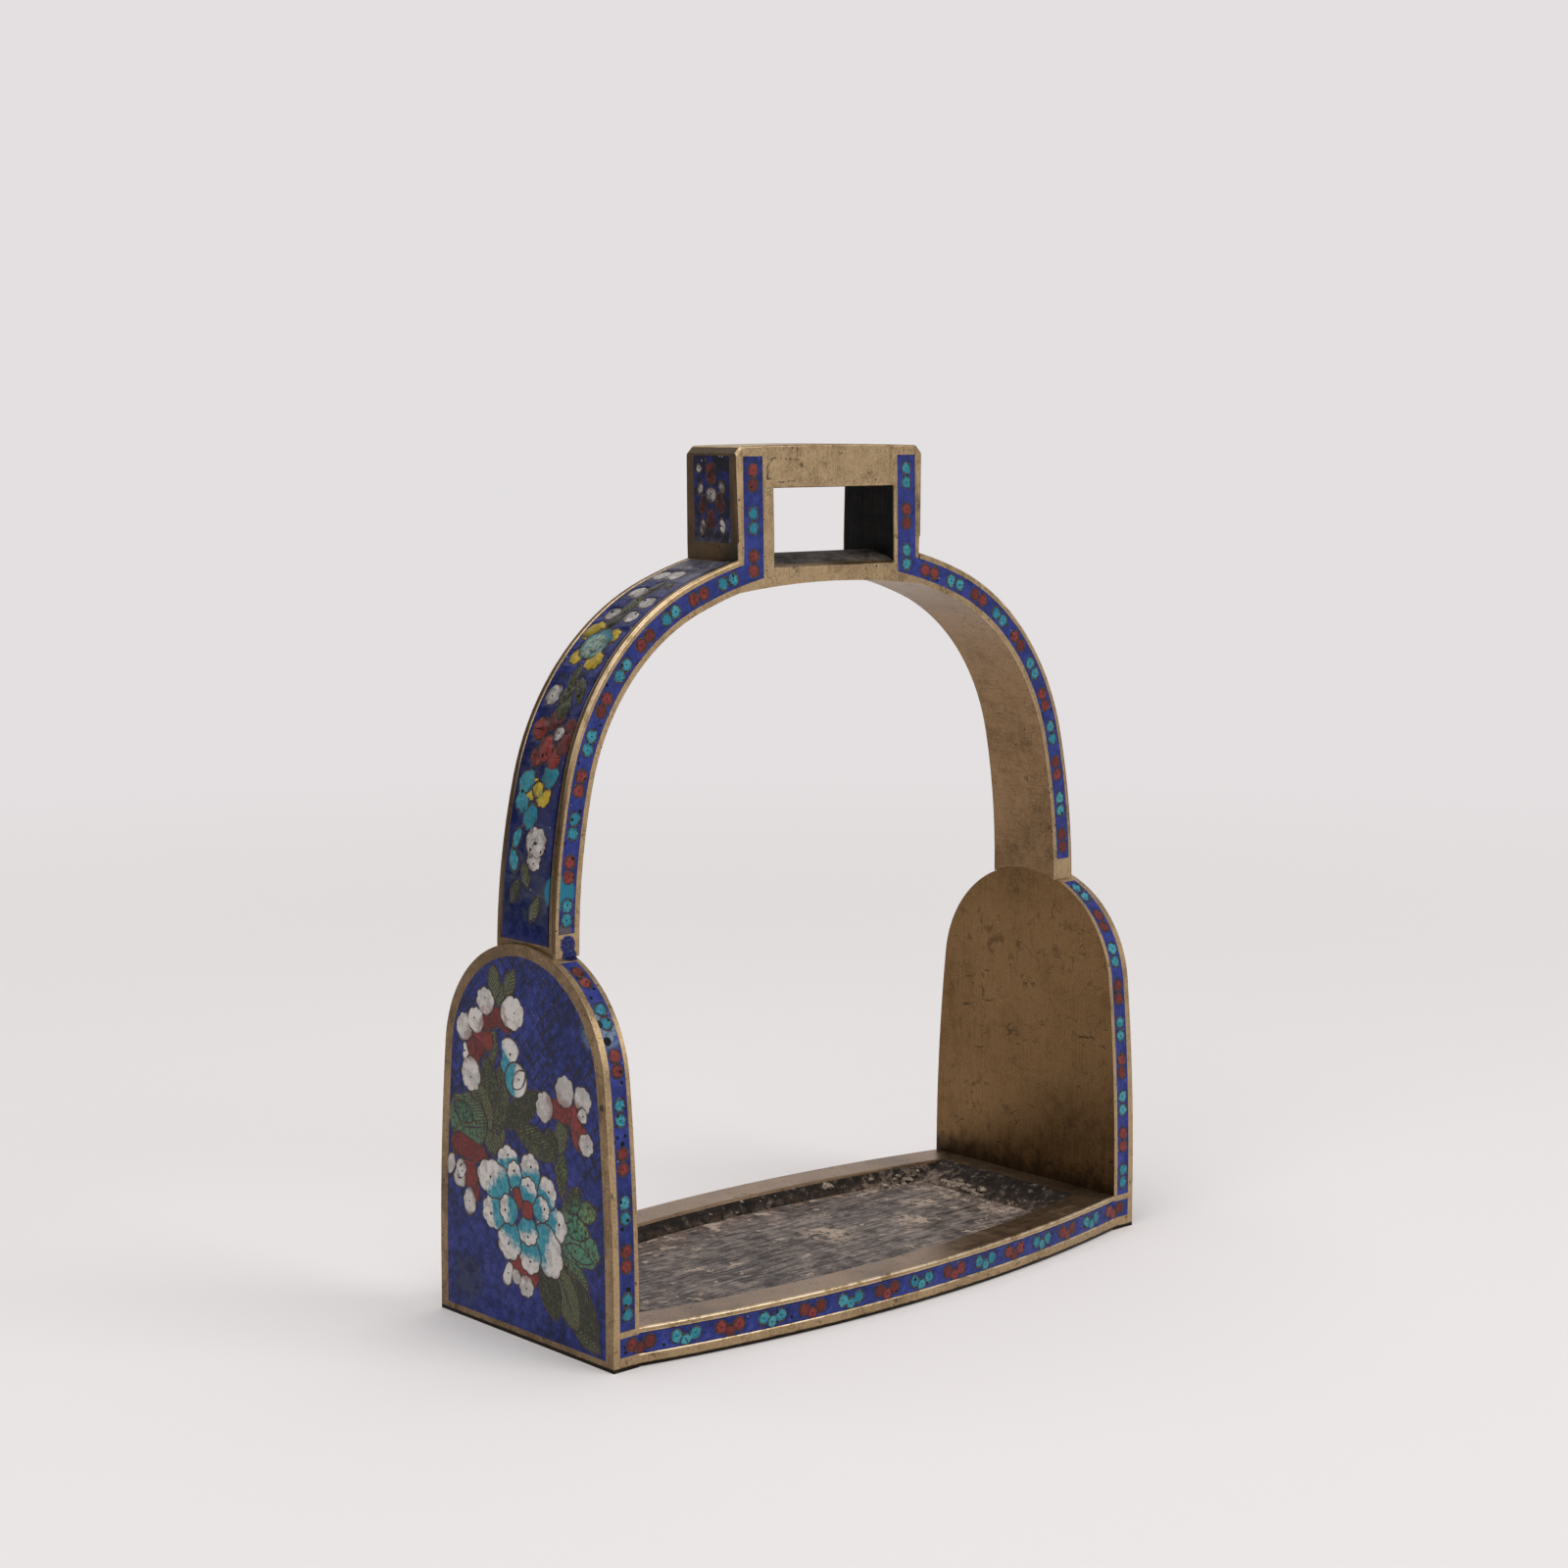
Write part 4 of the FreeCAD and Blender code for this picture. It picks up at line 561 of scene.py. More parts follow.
# Places of marks in the glass, in millimetres; those with both sides are given for the right.
glassMarks = {
    "pits": (
        ((-65.3, -19.4, 59.2), 0.55), ((-64.6, -20.8, 56.4), 0.60), ((-62.6, -23.0, 45.0), 0.23),
        ((-64.3, -23.1, 44.0), 0.27), ((-63.6, -23.5, 39.1), 0.32), ((-65.4, -23.5, 39.6), 0.23),
        ((-64.6, -24.1, 29.3), 0.23), ((-63.3, -24.3, 26.0), 0.23), ((-64.5, -24.4, 24.7), 0.27),
        ((-64.7, -24.5, 21.2), 0.23), ((-63.5, -24.7, 14.0), 0.36), ((-64.1, -24.7, 11.3), 0.28),
        ((-64.2, -24.7, 4.1), 0.24), ((-64.2, -24.7, 3.2), 0.24), ((-64.3, -24.7, 2.1), 0.24),
        ((-64.5, -16.4, 63.2), 0.27), ((-66.1, -16.0, 63.6), 0.27),
    ),
    "pitReach": 1.1,
    "pitEdge": 0.5,
    "paleSpecks": ((-66.8, -6.0, 62.0), 3.0, 4.0),
    "darkPatch": ((-66.8, 16.5, 7.0), 2.4, 3.4),
    "wornCrown": ((24.5, 0.0, 131.0), 5.0, 9.0),
    "legGreen": ((64.4, 0.0, 80.0), 4.0, 6.0),
    "hazyBlock": ((-65.0, -20.0, 58.2), 1.8, 3.2),
    "paleHeart": ((49.9, 0.2, 120.6), 2.2, 1.2),
    "turquoiseBlock": ((-64.2, -7.7, 80.0), 2.6, 0.7),
    "greyBlock": ((-63.5, -7.7, 73.2), 1.0, 0.8),
    "leafTurquoise": (((66.8, 17.2, 34.5), 0.40), ((66.8, -16.5, 21.5), 0.85)),
    "turquoiseReach": (3.4, 5.0),
    "leafYellow": ((66.8, -18.5, 25.0), (66.8, -14.0, 33.0)),
    "yellowReach": (1.4, 2.6),
}
# Where each panel lies, in millimetres: a pair is where a finish begins and where it is full.
panelEdges = {
    "loopHeight": (134.0, 138.0),
    "loopSide": (21.9, 22.2),
    "bowHeight": (70.0, 71.5),
    "bowDepth": (6.9, 6.5),
    "sootHeight": (84.0, 112.0),
    "deepOver": (68.0, 70.0),
    "deepUnder": (118.0, 92.0),
    "plateSide": (66.4, 66.7),
    "fretHeight": (12.0, 28.0),
}


def glaze(paint, colour, pitShare=0.35, grit=0.0, film=0.35, extraHeight=None):
    # what every enamel has: pores, pinholes, a film of old dirt and a worn polish
    wear = paint.noise(0.35, 4.0, 0.65)
    fine = paint.noise(2.4, 3.0, 0.7)
    scratches = paint.lines(0.30, 0.010, paint.mapped(turn=(35, 10, 25)))
    colour = paint.mix(fine.over(0.48, 0.66) * film, colour, glass["film"])
    colour = paint.mix(paint.noise(0.55, 4.0, 0.7).over(0.58, 0.70) * film, colour, glass["film"])
    # the panels on the loop's sides and on the bow's outer face are the dirtiest
    x, y, z = paint.parts(paint.bothSides())
    loopSide = z.over(*panelEdges["loopHeight"]) * x.over(*panelEdges["loopSide"])
    bowFace = z.over(*panelEdges["bowHeight"]) * y.rounded("ABSOLUTE").over(*panelEdges["bowDepth"])
    colour = paint.mix(loopSide * (0.15 + (wear.over(0.42, 0.60) * 0.65)), colour, glass["soot"])
    sooty = bowFace * z.over(*panelEdges["sootHeight"]) * wear.over(0.36, 0.62)
    colour = paint.mix(sooty * 0.45, colour, glass["soot"])
    holes = paint.spots(0.62, 0.26, pitShare, 0.25).most(paint.spots(1.35, 0.21, 0.36, 0.3) * 0.8)
    for point, radius in glassMarks["pits"]:
        holes = holes.most(paint.near(point, radius * glassMarks["pitReach"], radius * glassMarks["pitEdge"]))
    if grit:
        chips = paint.spots(1.25, 0.28, grit) * wear.over(0.46, 0.60)
        chips = chips.most(paint.spots(1.9, 0.30, 0.9) * paint.near(*glassMarks["paleSpecks"]))
        colour = paint.mix(chips * 0.8, colour, glass["grit"])
    colour = paint.mix(holes, colour, glass["pit"])
    height = wear * 0.5 - holes * 2.2 - scratches * 0.2 + fine * 0.25
    if extraHeight:
        height = height + extraHeight
    bump = paint.bump(height, 0.35, 0.12)
    roughness = 0.26 + (wear * 0.30) + (holes * 0.3)
    return paint.finish(Base_Color=colour, Roughness=roughness, Specular_IOR_Level=0.20, Normal=bump)


# The blue's fret: T shapes at 45 degrees, in millimetres.
fret = {"pitch": 2.0, "halfLine": 0.15, "turn": 45}


def fretLines(paint):
    # every other cell turns its T
    scale = 1 / fret["pitch"]
    along, across = paint.parts(paint.mapped((1, scale, scale), (fret["turn"], 0, 0)))[1:]
    alongPart = along - along.rounded("FLOOR")
    acrossPart = across - across.rounded("FLOOR")
    odd = (along.rounded("FLOOR") + across.rounded("FLOOR")) * 0.5
    odd = (odd - odd.rounded("FLOOR")) * 2.0
    line = fret["halfLine"] / fret["pitch"]
    alongMid = (alongPart - 0.5).rounded("ABSOLUTE").over(line * 1.8, line)
    acrossMid = (acrossPart - 0.5).rounded("ABSOLUTE").over(line * 1.8, line)
    evenT = acrossMid + alongMid * acrossPart.over(0.52, 0.48)
    oddT = alongMid + acrossMid * alongPart.over(0.52, 0.48)
    return (evenT * (1 - odd) + oddT * odd).over(0.1, 0.9)


def makeBlue():
    paint = newPaint("cobaltGround")
    both = paint.bothSides()
    x, y, z = paint.parts(paint.place)
    broad = paint.noise(0.11, 4.0, 0.6)
    cloudy = paint.noise(0.60, 4.0, 0.68)
    tones = [(0.42, glass["blueDeep"]), (0.50, glass["blue"]), (0.62, glass["blueHazy"])]
    colour = paint.ramp(broad * 0.4 + cloudy * 0.6, tones)
    # painted shade makes the bow's outer face deepest and painted light makes the edge strips lightest, by the
    # way they face; the fret shows on the side plates
    bowFace = y.rounded("ABSOLUTE").over(*panelEdges["bowDepth"])
    deep = z.over(*panelEdges["deepOver"]) * z.over(*panelEdges["deepUnder"]) * bowFace * 0.6
    colour = paint.mix(deep, colour, glass["blueBow"])
    plateSide = x.rounded("ABSOLUTE").over(*panelEdges["plateSide"])
    colour = paint.mix((1 - plateSide) * (1 - bowFace) * 0.35, colour, glass["blueStripLit"])
    flecks = paint.noise(1.7, 4.0, 0.75)
    colour = paint.mix(flecks.over(0.58, 0.66) * 0.50, colour, glass["film"])
    colour = paint.mix(flecks.over(0.42, 0.34) * 0.60, colour, glass["blueWorn"])
    shown = plateSide * paint.noise(0.14, 2.0, 0.5).over(0.36, 0.54)
    shown = shown * (z.over(*panelEdges["fretHeight"]) * 0.7 + 0.3)
    colour = paint.mix(fretLines(paint) * shown * 0.85, colour, glass["fret"])
    # worn bare by the loop, hazy on the left plate's head, greenish at the leg's foot, dark low on the plate
    worn = paint.near(*glassMarks["wornCrown"], both) * cloudy.over(0.30, 0.52) * bowFace
    colour = paint.mix(worn * 0.85, colour, glass["bare"])
    colour = paint.mix(paint.lines(0.50, 0.016) * worn * 0.8, colour, glass["grit"])
    haze = paint.near(*glassMarks["hazyBlock"]) * paint.noise(1.1, 4.0, 0.7).over(0.36, 0.54)
    colour = paint.mix(haze * 0.85, colour, glass["haze"])
    foot = paint.near(*glassMarks["legGreen"], both) * cloudy.over(0.44, 0.60)
    colour = paint.mix(foot * 0.7, colour, glass["greenDark"])
    patch = paint.near(*glassMarks["darkPatch"]) * cloudy.over(0.42, 0.56)
    colour = paint.mix(patch * 0.8, colour, glass["sootyBlue"])
    colour = paint.mix(paint.near(*glassMarks["turquoiseBlock"]) * 0.9, colour, glass["turquoise"])
    colour = paint.mix(paint.near(*glassMarks["greyBlock"]), colour, glass["greyRun"])
    return glaze(paint, colour, 0.42, 0.34, 0.12)


def cellFields(paint):
    # across and along the cell from its middle in millimetres, a chance, half its width and length, and
    # how near its rim a point lies: 1 is on the rim
    place = paint.node("ShaderNodeAttribute", {"attribute_name": "cellPlace"}, {}, "Vector")
    size = paint.node("ShaderNodeAttribute", {"attribute_name": "cellSize"}, {}, "Vector")
    across, along, chance = paint.parts(place)
    halfWidth, halfLength = paint.parts(size)[:2]
    wide, long = across / halfWidth, along / halfLength
    return across, along, chance, halfWidth, halfLength, (wide * wide + long * long).rounded("SQRT")


cellLooks = {
    "whiteCell": {
        "light": "white", "dark": "whiteGrey", "base": "pinkGrey", "rim": (0.16, 0.13, 0.12), "dot": 0.17,
        "film": 0.08, "cloud": 0.5, "pits": 0.6,
    },
    "redCell": {"light": "red", "dark": "redDark", "rim": (0.050, 0.018, 0.015), "film": 0.45},
    "yellowCell": {"light": "yellow", "dark": "yellow", "base": "greenYellow", "rim": (0.13, 0.08, 0.02)},
    "turquoiseCell": {"light": "turquoiseLight", "dark": "turquoise", "rim": (0.030, 0.055, 0.060)},
    "greenCell": {
        "light": "green", "dark": "greenDark", "rim": (0.022, 0.022, 0.015), "veins": 1.1,
        "pits": 0.5, "film": 0.3,
    },
    "redBlossom": {
        "light": "red", "dark": "redDark", "rim": (0.050, 0.022, 0.020), "dot": 0.14, "star": 5.0,
        "pits": 0.7,
    },
    "turquoiseBlossom": {
        "light": "turquoiseLight", "dark": "turquoise", "rim": (0.030, 0.032, 0.034), "dot": 0.15,
        "star": 7.0, "pits": 0.7,
    },
}
# The bow's outer flowers are worn: their rims wander and their glass is pitted.
wornCells = {"green_enamel": "greenCell"}
for plain in ("white", "red", "yellow", "turquoise"):
    worn = "worn" + plain.capitalize()
    wornCells[plain + "_enamel"] = worn
    cellLooks[worn] = {**cellLooks[plain + "Cell"], "star": 3.0, "pits": 0.6, "film": 0.35}


def veinLeaf(paint, colour, cloudy, slanted):
    # a leaf's dark veins, and the turquoise and yellow that show in some leaves
    veins = (slanted - slanted.rounded("FLOOR") - 0.5).rounded("ABSOLUTE").over(0.30, 0.14)
    colour = paint.mix(veins * 0.80, colour, glass["vein"])
    both = paint.bothSides()
    for point, share in glassMarks["leafTurquoise"]:
        lit = paint.near(point, *glassMarks["turquoiseReach"], both) * cloudy.over(0.42, 0.54)
        colour = paint.mix(lit * share, colour, glass["greenTurquoise"])
    for point in glassMarks["leafYellow"]:
        lit = paint.near(point, *glassMarks["yellowReach"], both) * cloudy.over(0.42, 0.56)
        colour = paint.mix(lit * 0.8, colour, glass["greenYellow"])
    return colour


def makeCell(name):
    look = cellLooks[name]
    paint = newPaint(name)
    across, along, chance, halfWidth, halfLength, rim = cellFields(paint)
    cloudy = paint.noise(look.get("cloud", 1.3), 4.0, 0.70)
    lightness = (cloudy * 0.9 + chance * 0.25).over(0.44, 0.72)
    colour = paint.mix(lightness, glass[look["dark"]], glass[look["light"]])
    if "base" in look:
        towardsBase = (along / halfLength + (cloudy - 0.5) * 3.0 + chance * 0.4).over(-0.2, -0.9)
        colour = paint.mix(towardsBase * 0.8, colour, glass[look["base"]])
    if "star" in look:
        turn = paint.node("ShaderNodeMath", {"operation": "ARCTAN2"}, {0: across, 1: along})
        rim = rim + (turn * look["star"] + chance * 6.0).rounded("SINE") * 0.11
    rim = rim + (paint.noise(2.0, 3.0, 0.7) - 0.5) * 0.5
    if "star" in look:
        # a broken ring for the wire, and blue beyond it
        ring = rim.over(0.78, 0.90) * rim.over(1.12, 1.0) * paint.noise(0.7, 2.0, 0.5).over(0.38, 0.50)
        colour = paint.mix(ring * 0.85, colour, look["rim"])
        colour = paint.mix(rim.over(1.02, 1.35) * 0.75, colour, glass["blue"])
    else:
        # a dark rim by the wire: painted shade of the wire inside the cell, and the wire's own dark tone where
        # the glass reaches over it
        colour = paint.mix(rim.over(0.88, 1.06) * 0.75, colour, look["rim"])
    if "veins" in look:
        slanted = (along - across.rounded("ABSOLUTE") * 1.3 + (cloudy - 0.5) * 1.1) * look["veins"]
        colour = veinLeaf(paint, colour, cloudy, slanted)
    if name == "wornTurquoise":
        heart = paint.near(*glassMarks["paleHeart"], paint.bothSides()) * cloudy.over(0.34, 0.52)
        colour = paint.mix(heart * 0.9, colour, glass["heart"])
    lift = None
    if "dot" in look:
        reach = (across * across + along * along).rounded("SQRT")
        mark = reach.over(look["dot"] * 1.3, look["dot"] * 0.8) * chance.over(0.30, 0.34)
        colour = paint.mix(mark, colour, glass["pit"])
        lift = mark * -2.0
    return glaze(paint, colour, look.get("pits", 0.30), film=look.get("film", 0.25), extraHeight=lift)


def makePetal():
    paint = newPaint("petalWhiteToTurquoise")
    across, along, chance, halfWidth, halfLength, rim = cellFields(paint)
    cloudy = paint.noise(0.9, 4.0, 0.65)
    towardsTip = along / halfLength + (across / halfWidth) * (chance - 0.5) * 1.1 + (cloudy - 0.5) * 1.3
    blue = paint.mix(cloudy.over(0.36, 0.62), glass["turquoise"], glass["turquoiseLight"])
    white = paint.mix(paint.noise(0.7, 3.0, 0.6).over(0.34, 0.56), glass["whiteGrey"], glass["white"])
    colour = paint.mix(towardsTip.over(-0.32, 0.20), blue, white)
    # a darker rim: painted shade of the wire round the petal
    colour = paint.mix((rim + (cloudy - 0.5) * 0.3).over(0.84, 1.06) * 0.40, colour, glass["petalRim"])
    below = along - halfLength * 0.20
    mark = (across * across + below * below).rounded("SQRT").over(0.34, 0.20) * chance.over(0.12, 0.16)
    colour = paint.mix(mark, colour, glass["pit"])
    return glaze(paint, colour, 0.18, film=0.07, extraHeight=mark * -2.0)


print("materials")
materials = {look: makeBrass(look) for look in metalLooks}
materials.update({look: makeBlackened(look) for look in blackenedLooks})
materials.update({look: makeCell(look) for look in cellLooks})
materials.update({
    "seam": makeSeam(), "crust": makeCrust(), "petal": makePetal(), "cobalt": makeBlue(), "wire": makeWire(),
    "tread": makeTread(),
})
slotMaterials = {
    "tread": "tread",
    "plug": "darkPlug",
    "wire": "wire",
    "blue_enamel": "cobalt",
    "white_enamel": "whiteCell",
    "red_enamel": "redCell",
    "green_enamel": "greenCell",
    "yellow_enamel": "yellowCell",
    "turquoise_enamel": "turquoiseCell",
}


def mergedCopy(name):
    # a CAD node's mesh is loose triangles, so a copy is joined up before it is worked on
    shape = bmesh.new()
    shape.from_mesh(nodes[name].data)
    bmesh.ops.remove_doubles(shape, verts=shape.verts, dist=0.001 * millimetre)
    return shape


def newObject(shape, name):
    mesh = bpy.data.meshes.new(name)
    shape.to_mesh(mesh)
    shape.free()
    thing = bpy.data.objects.new(name, mesh)
    bpy.context.scene.collection.objects.link(thing)
    return thing


def placePiece(shape, name, replaced, looks):
    piece = newObject(shape, name)
    for look in looks:
        piece.data.materials.append(materials[look])
    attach(piece, "root")
    if replaced:
        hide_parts(*replaced)
    return piece


def camel(name):
    # left_plate_ground gives leftPlateGround
    words = name.split("_")
    return words[0] + "".join(word.capitalize() for word in words[1:])


# The brass pieces: worn arrises with a painted highlight, dark seams round the glass, and lit and shaded
# copies of the brass that differ from face to face, as painted light and painted shade.
# Lengths are in millimetres and angles in degrees; each bevel has its width, its segments and its finish.
brassPieces = {
    "bevels": {
        "arris": (0.38, 3, "wornArrisAndHighlight"),
        "broad": (1.05, 4, "wornArrisAndHighlight"),
        "mouth": (0.55, 3, "rimBrassShaded"),
        "seam": (0.14, 1, "seam"),
    },
    "sharpAngle": 38,
    "shadeAngle": 32,
    "flatAngle": 0.3,
    "coverGap": 0.02,
    "margin": 0.2,
    "topBar": 3.0,
    "names": {
        "bow": "bowBrass",
        "strap_loop": "strapLoopBrass",
        "left_side_plate": "leftPlateBrass",
        "right_side_plate": "rightPlateBrass",
        "foot_plate": "footPlateBrass",
    },
    "finishes": [
        "frontBrassLit", "wornArrisAndHighlight", "seam", "innerBrassShaded", "underBrassShaded", "rimBrassShaded", "slotWall", "slotFloor",
        "recessWall", "sideBrassShaded",
    ],
}
finishPlaces = {finish: place for place, finish in enumerate(brassPieces["finishes"])}
# How squarely a face has to look one way to count as turned that way: 1 is square on.
squareOn = {"top": 0.98, "slope": 0.05, "wall": 0.1, "plateSide": 0.9, "loopSide": 0.7, "edge": 0.5}


def corners(name):
    return [vertex.co for vertex in nodes[name].data.vertices]


treadTop = max(corner.z for corner in corners("tread_plate"))
footTop = max(corner.z for corner in corners("foot_plate"))
loopTop = max(corner.z for corner in corners("strap_loop"))
slotFloor = min(corner.z for corner in corners("strap_loop"))
bowFoot = min(corner.z for corner in corners("bow"))
plateFace = max(abs(corner.x) for corner in corners("left_side_plate"))
margin = brassPieces["margin"] * millimetre
loopFeet = [corner.x for corner in corners("strap_loop") if corner.z < slotFloor + margin]
slotLeft = max(x for x in loopFeet if x < 0)
slotRight = min(x for x in loopFeet if x > 0)


def inSlot(x):
    return slotLeft - margin < x < slotRight + margin


def outwards(spot):
    # the way out of the bow's arch, square to the stirrup's depth
    return Vector((spot.x, 0.0, spot.z - bowFoot))


def footFinish(spot, way):
    sloping = squareOn["slope"] < way.z < squareOn["top"] and abs(way.y) + abs(way.x) > squareOn["wall"]
    if sloping and treadTop - margin < spot.z < footTop - margin:
        return "recessWall"
    return "rimBrassShaded" if way.z > squareOn["top"] else "frontBrassLit"


def plateFinish(spot, way):
    if abs(way.x) <= squareOn["plateSide"]:
        return "frontBrassLit"
    return "innerBrassShaded" if way.x * spot.x < 0.0 else "sideBrassShaded"


def loopFinish(spot, way):
    underBar = spot.z < loopTop - brassPieces["topBar"] * millimetre
    if inSlot(spot.x) and underBar and abs(way.y) < squareOn["edge"]:
        return "slotWall"
    return "sideBrassShaded" if abs(way.x) > squareOn["loopSide"] else "frontBrassLit"


def bowFinish(spot, way):
    if abs(way.y) > squareOn["edge"]:
        return "frontBrassLit"
    if spot.z > slotFloor - margin and inSlot(spot.x):
        return "slotFloor"
    return "underBrassShaded" if way.dot(outwards(spot)) < 0.0 else "sideBrassShaded"


finishOf = {
    "foot_plate": footFinish,
    "left_side_plate": plateFinish,
    "right_side_plate": plateFinish,
    "strap_loop": loopFinish,
    "bow": bowFinish,
}


def coverOf(name):
    # every other node's surface, to tell which of this one's faces are covered
    points, faces = [], []
    for other, thing in nodes.items():
        if other != name:
            start = len(points)
            points.extend(vertex.co for vertex in thing.data.vertices)
            faces.extend([start + i for i in polygon.vertices] for polygon in thing.data.polygons)
    return BVHTree.FromPolygons(points, faces)


def edgeKind(name, edge, covered):
    # which bevel a sharp edge takes: a bare arris, the bow's broad one, the recess's mouth or a glass seam
    hidden = len(covered.intersection(edge.link_faces))
    middle = (edge.verts[0].co + edge.verts[1].co) / 2
    if name == "foot_plate" and abs(middle.z - treadTop) < margin:
        return None
    if hidden:
        return "seam" if hidden == 1 else None
    ways = [face.normal for face in edge.link_faces]
    outer = any(abs(way.y) < squareOn["edge"] and way.dot(outwards(middle)) > 0.0 for way in ways)
    if name == "bow" and outer and not inSlot(middle.x):
        return "broad"
    walls = any(face.material_index == finishPlaces["recessWall"] for face in edge.link_faces)
    return "mouth" if walls else "arris"


def makeBrassPiece(name, pieceName):
    shape = mergedCopy(name)
    flat = math.radians(brassPieces["flatAngle"])
    bmesh.ops.dissolve_limit(shape, angle_limit=flat, verts=shape.verts, edges=shape.edges)
    cover = coverOf(name)
    gap = brassPieces["coverGap"] * millimetre
    covered = {face for face in shape.faces if cover.find_nearest(face.calc_center_median(), gap)[0]}
    for face in shape.faces:
        face.material_index = finishPlaces[finishOf[name](face.calc_center_median(), face.normal)]
        face.smooth = True
    sharp = math.radians(brassPieces["sharpAngle"])
    kinds = {kind: [] for kind in brassPieces["bevels"]}
    for edge in shape.edges:
        if edge.is_manifold and edge.is_convex and edge.calc_face_angle() > sharp:
            kind = edgeKind(name, edge, covered)
            if kind:
                kinds[kind].append(edge)
    for kind, (width, segments, finish) in brassPieces["bevels"].items():
        edges = [edge for edge in kinds[kind] if edge.is_valid]
        if not edges:
            continue
        made = bmesh.ops.bevel(
            shape, geom=edges, offset=width * millimetre, offset_type="OFFSET", segments=segments,
            profile=0.5, affect="EDGES", clamp_overlap=True, material=-1,
        )
        for face in made["faces"]:
            face.material_index = finishPlaces[finish]
            face.smooth = True
    piece = placePiece(shape, pieceName, [name], brassPieces["finishes"])
    piece.data.set_sharp_from_angle(angle=math.radians(brassPieces["shadeAngle"]))
    weighted = piece.modifiers.new("evenShading", "WEIGHTED_NORMAL")
    weighted.keep_sharp = True
    return piece


for name, pieceName in brassPieces["names"].items():
    piece = makeBrassPiece(name, pieceName)
    print(pieceName, len(piece.data.polygons), "faces")


def islands(shape):
    # the separate solids of a mesh, as lists of vertices
    shape.verts.index_update()
    shape.faces.index_update()
    left = set(shape.verts)
    found = []
    while left:
        group, edge = set(), [left.pop()]
        while edge:
            vertex = edge.pop()
            if vertex in group:
                continue
            group.add(vertex)
            edge.extend(link.other_vert(vertex) for link in vertex.link_edges)
        left -= group
        found.append(sorted(group, key=lambda vertex: vertex.index))
    return sorted(found, key=lambda group: group[0].index)


def middleOf(group):
    return sum((vertex.co for vertex in group), Vector()) / len(group)


def middlesOf(name):
    shape = mergedCopy(name)
    found = [middleOf(group) for group in islands(shape)]
    shape.free()
    return found


def facesOf(group):
    # the faces round some vertices, in the same order in every run
    return sorted({face for vertex in group for face in vertex.link_faces}, key=lambda face: face.index)


def areaOf(faces):
    # the faces' areas added up, each along its normal
    return sum((face.normal * face.calc_area() for face in faces), Vector())


def mostlyFacing(group):
    # the way that most of a cell's surface looks, square to its panel
    areas = {}
    for face in facesOf(group):
        way = tuple(round(part, 1) for part in face.normal)
        areas[way] = areas.get(way, Vector()) + face.normal * face.calc_area()
    return max(areas.values(), key=lambda area: area.length).normalized()


def addLayers(shape):
    layers = shape.verts.layers.float_vector
    return layers.new("cellPlace"), layers.new("cellSize")


# A ragged cell's glass has run unevenly over its wires: the reach on each panel, in millimetres, and how
# the push changes along the rim.
raggedGlass = {
    "bow": 0.24, "plate": 0.22, "mean": 0.35, "scale": 1.1, "swing": 1.3, "least": -0.4, "most": 1.0,
}
heartGap = 0.5  # a cell closer than this to its flower's heart keeps its own length's direction


def pushRim(group, flat, ragged):
    pushes = []
    for vertex in group:
        aside = vertex.normal - flat * vertex.normal.dot(flat)
        swell = noise.noise(vertex.co / millimetre * raggedGlass["scale"]) * raggedGlass["swing"]
        swell += raggedGlass["mean"]
        share = max(raggedGlass["least"], min(raggedGlass["most"], swell))
        pushes.append(aside.normalized() * share * ragged * millimetre)
    for vertex, push in zip(group, pushes):
        vertex.co += push


def makeCells(name, pieceName, look, hearts=None, ragged=0.0):
    # each cell carries its own coordinates, so that its glass can shade from base to tip
    shape = mergedCopy(name)
    shape.normal_update()
    placeLayer, sizeLayer = addLayers(shape)
    chances = random.Random(name)
    for group in islands(shape):
        middle = middleOf(group)
        flat = mostlyFacing(group)
        offsets = [vertex.co - middle for vertex in group]
        offsets = [offset - flat * offset.dot(flat) for offset in offsets]
        up = max(offsets, key=lambda offset: offset.length)
        if hearts:
            away = middle - min(hearts, key=lambda place: (place - middle).length)
            away = away - flat * away.dot(flat)
            if away.length > heartGap * millimetre:
                up = away
        up = up.normalized()
        sideways = flat.cross(up)
        halfWidth = max(abs(offset.dot(sideways)) for offset in offsets) / millimetre
        halfLength = max(abs(offset.dot(up)) for offset in offsets) / millimetre
        chance = chances.random()
        for vertex, offset in zip(group, offsets):
            across, along = offset.dot(sideways) / millimetre, offset.dot(up) / millimetre
            vertex[placeLayer] = Vector((across, along, chance))
            vertex[sizeLayer] = Vector((halfWidth, halfLength, 0.0))
        if ragged:
            pushRim(group, flat, ragged)
    return placePiece(shape, pieceName, [name], [look])


# The edge strips' blossoms have ragged outlines that run a little over their wires. Sizes are in
# millimetres, and least, most and tallest are shares of a blossom's own size.
stripLook = {
    "sunk": 0.03,
    "thickness": 0.12,
    "steps": 40,
    "least": 0.80,
    "most": 1.30,
    "tallest": 1.12,
    "waves": (2, 3, 5, 7, 11),
    "waveSum": 3.2,
    "ringShares": (1.0, 0.6, 0.25),
    "lean": 0.3,
}
looksOutShares = {"plate": 0.9, "side": 0.6, "strip": 0.45}


def looksOut(face, facing):
    # the strips face front or back, and bend up over the plates' heads; the bow's panels face outwards
    spot = face.calc_center_median()
    if facing == "plate":
        return face.normal.x * spot.x > looksOutShares["plate"] * abs(spot.x)
    if facing == "side":
        return face.normal.dot(outwards(spot).normalized()) > looksOutShares["side"]
    way = Vector((0.0, -1.0 if facing == "front" else 1.0, stripLook["lean"]))
    return face.normal.dot(way) > looksOutShares["strip"]


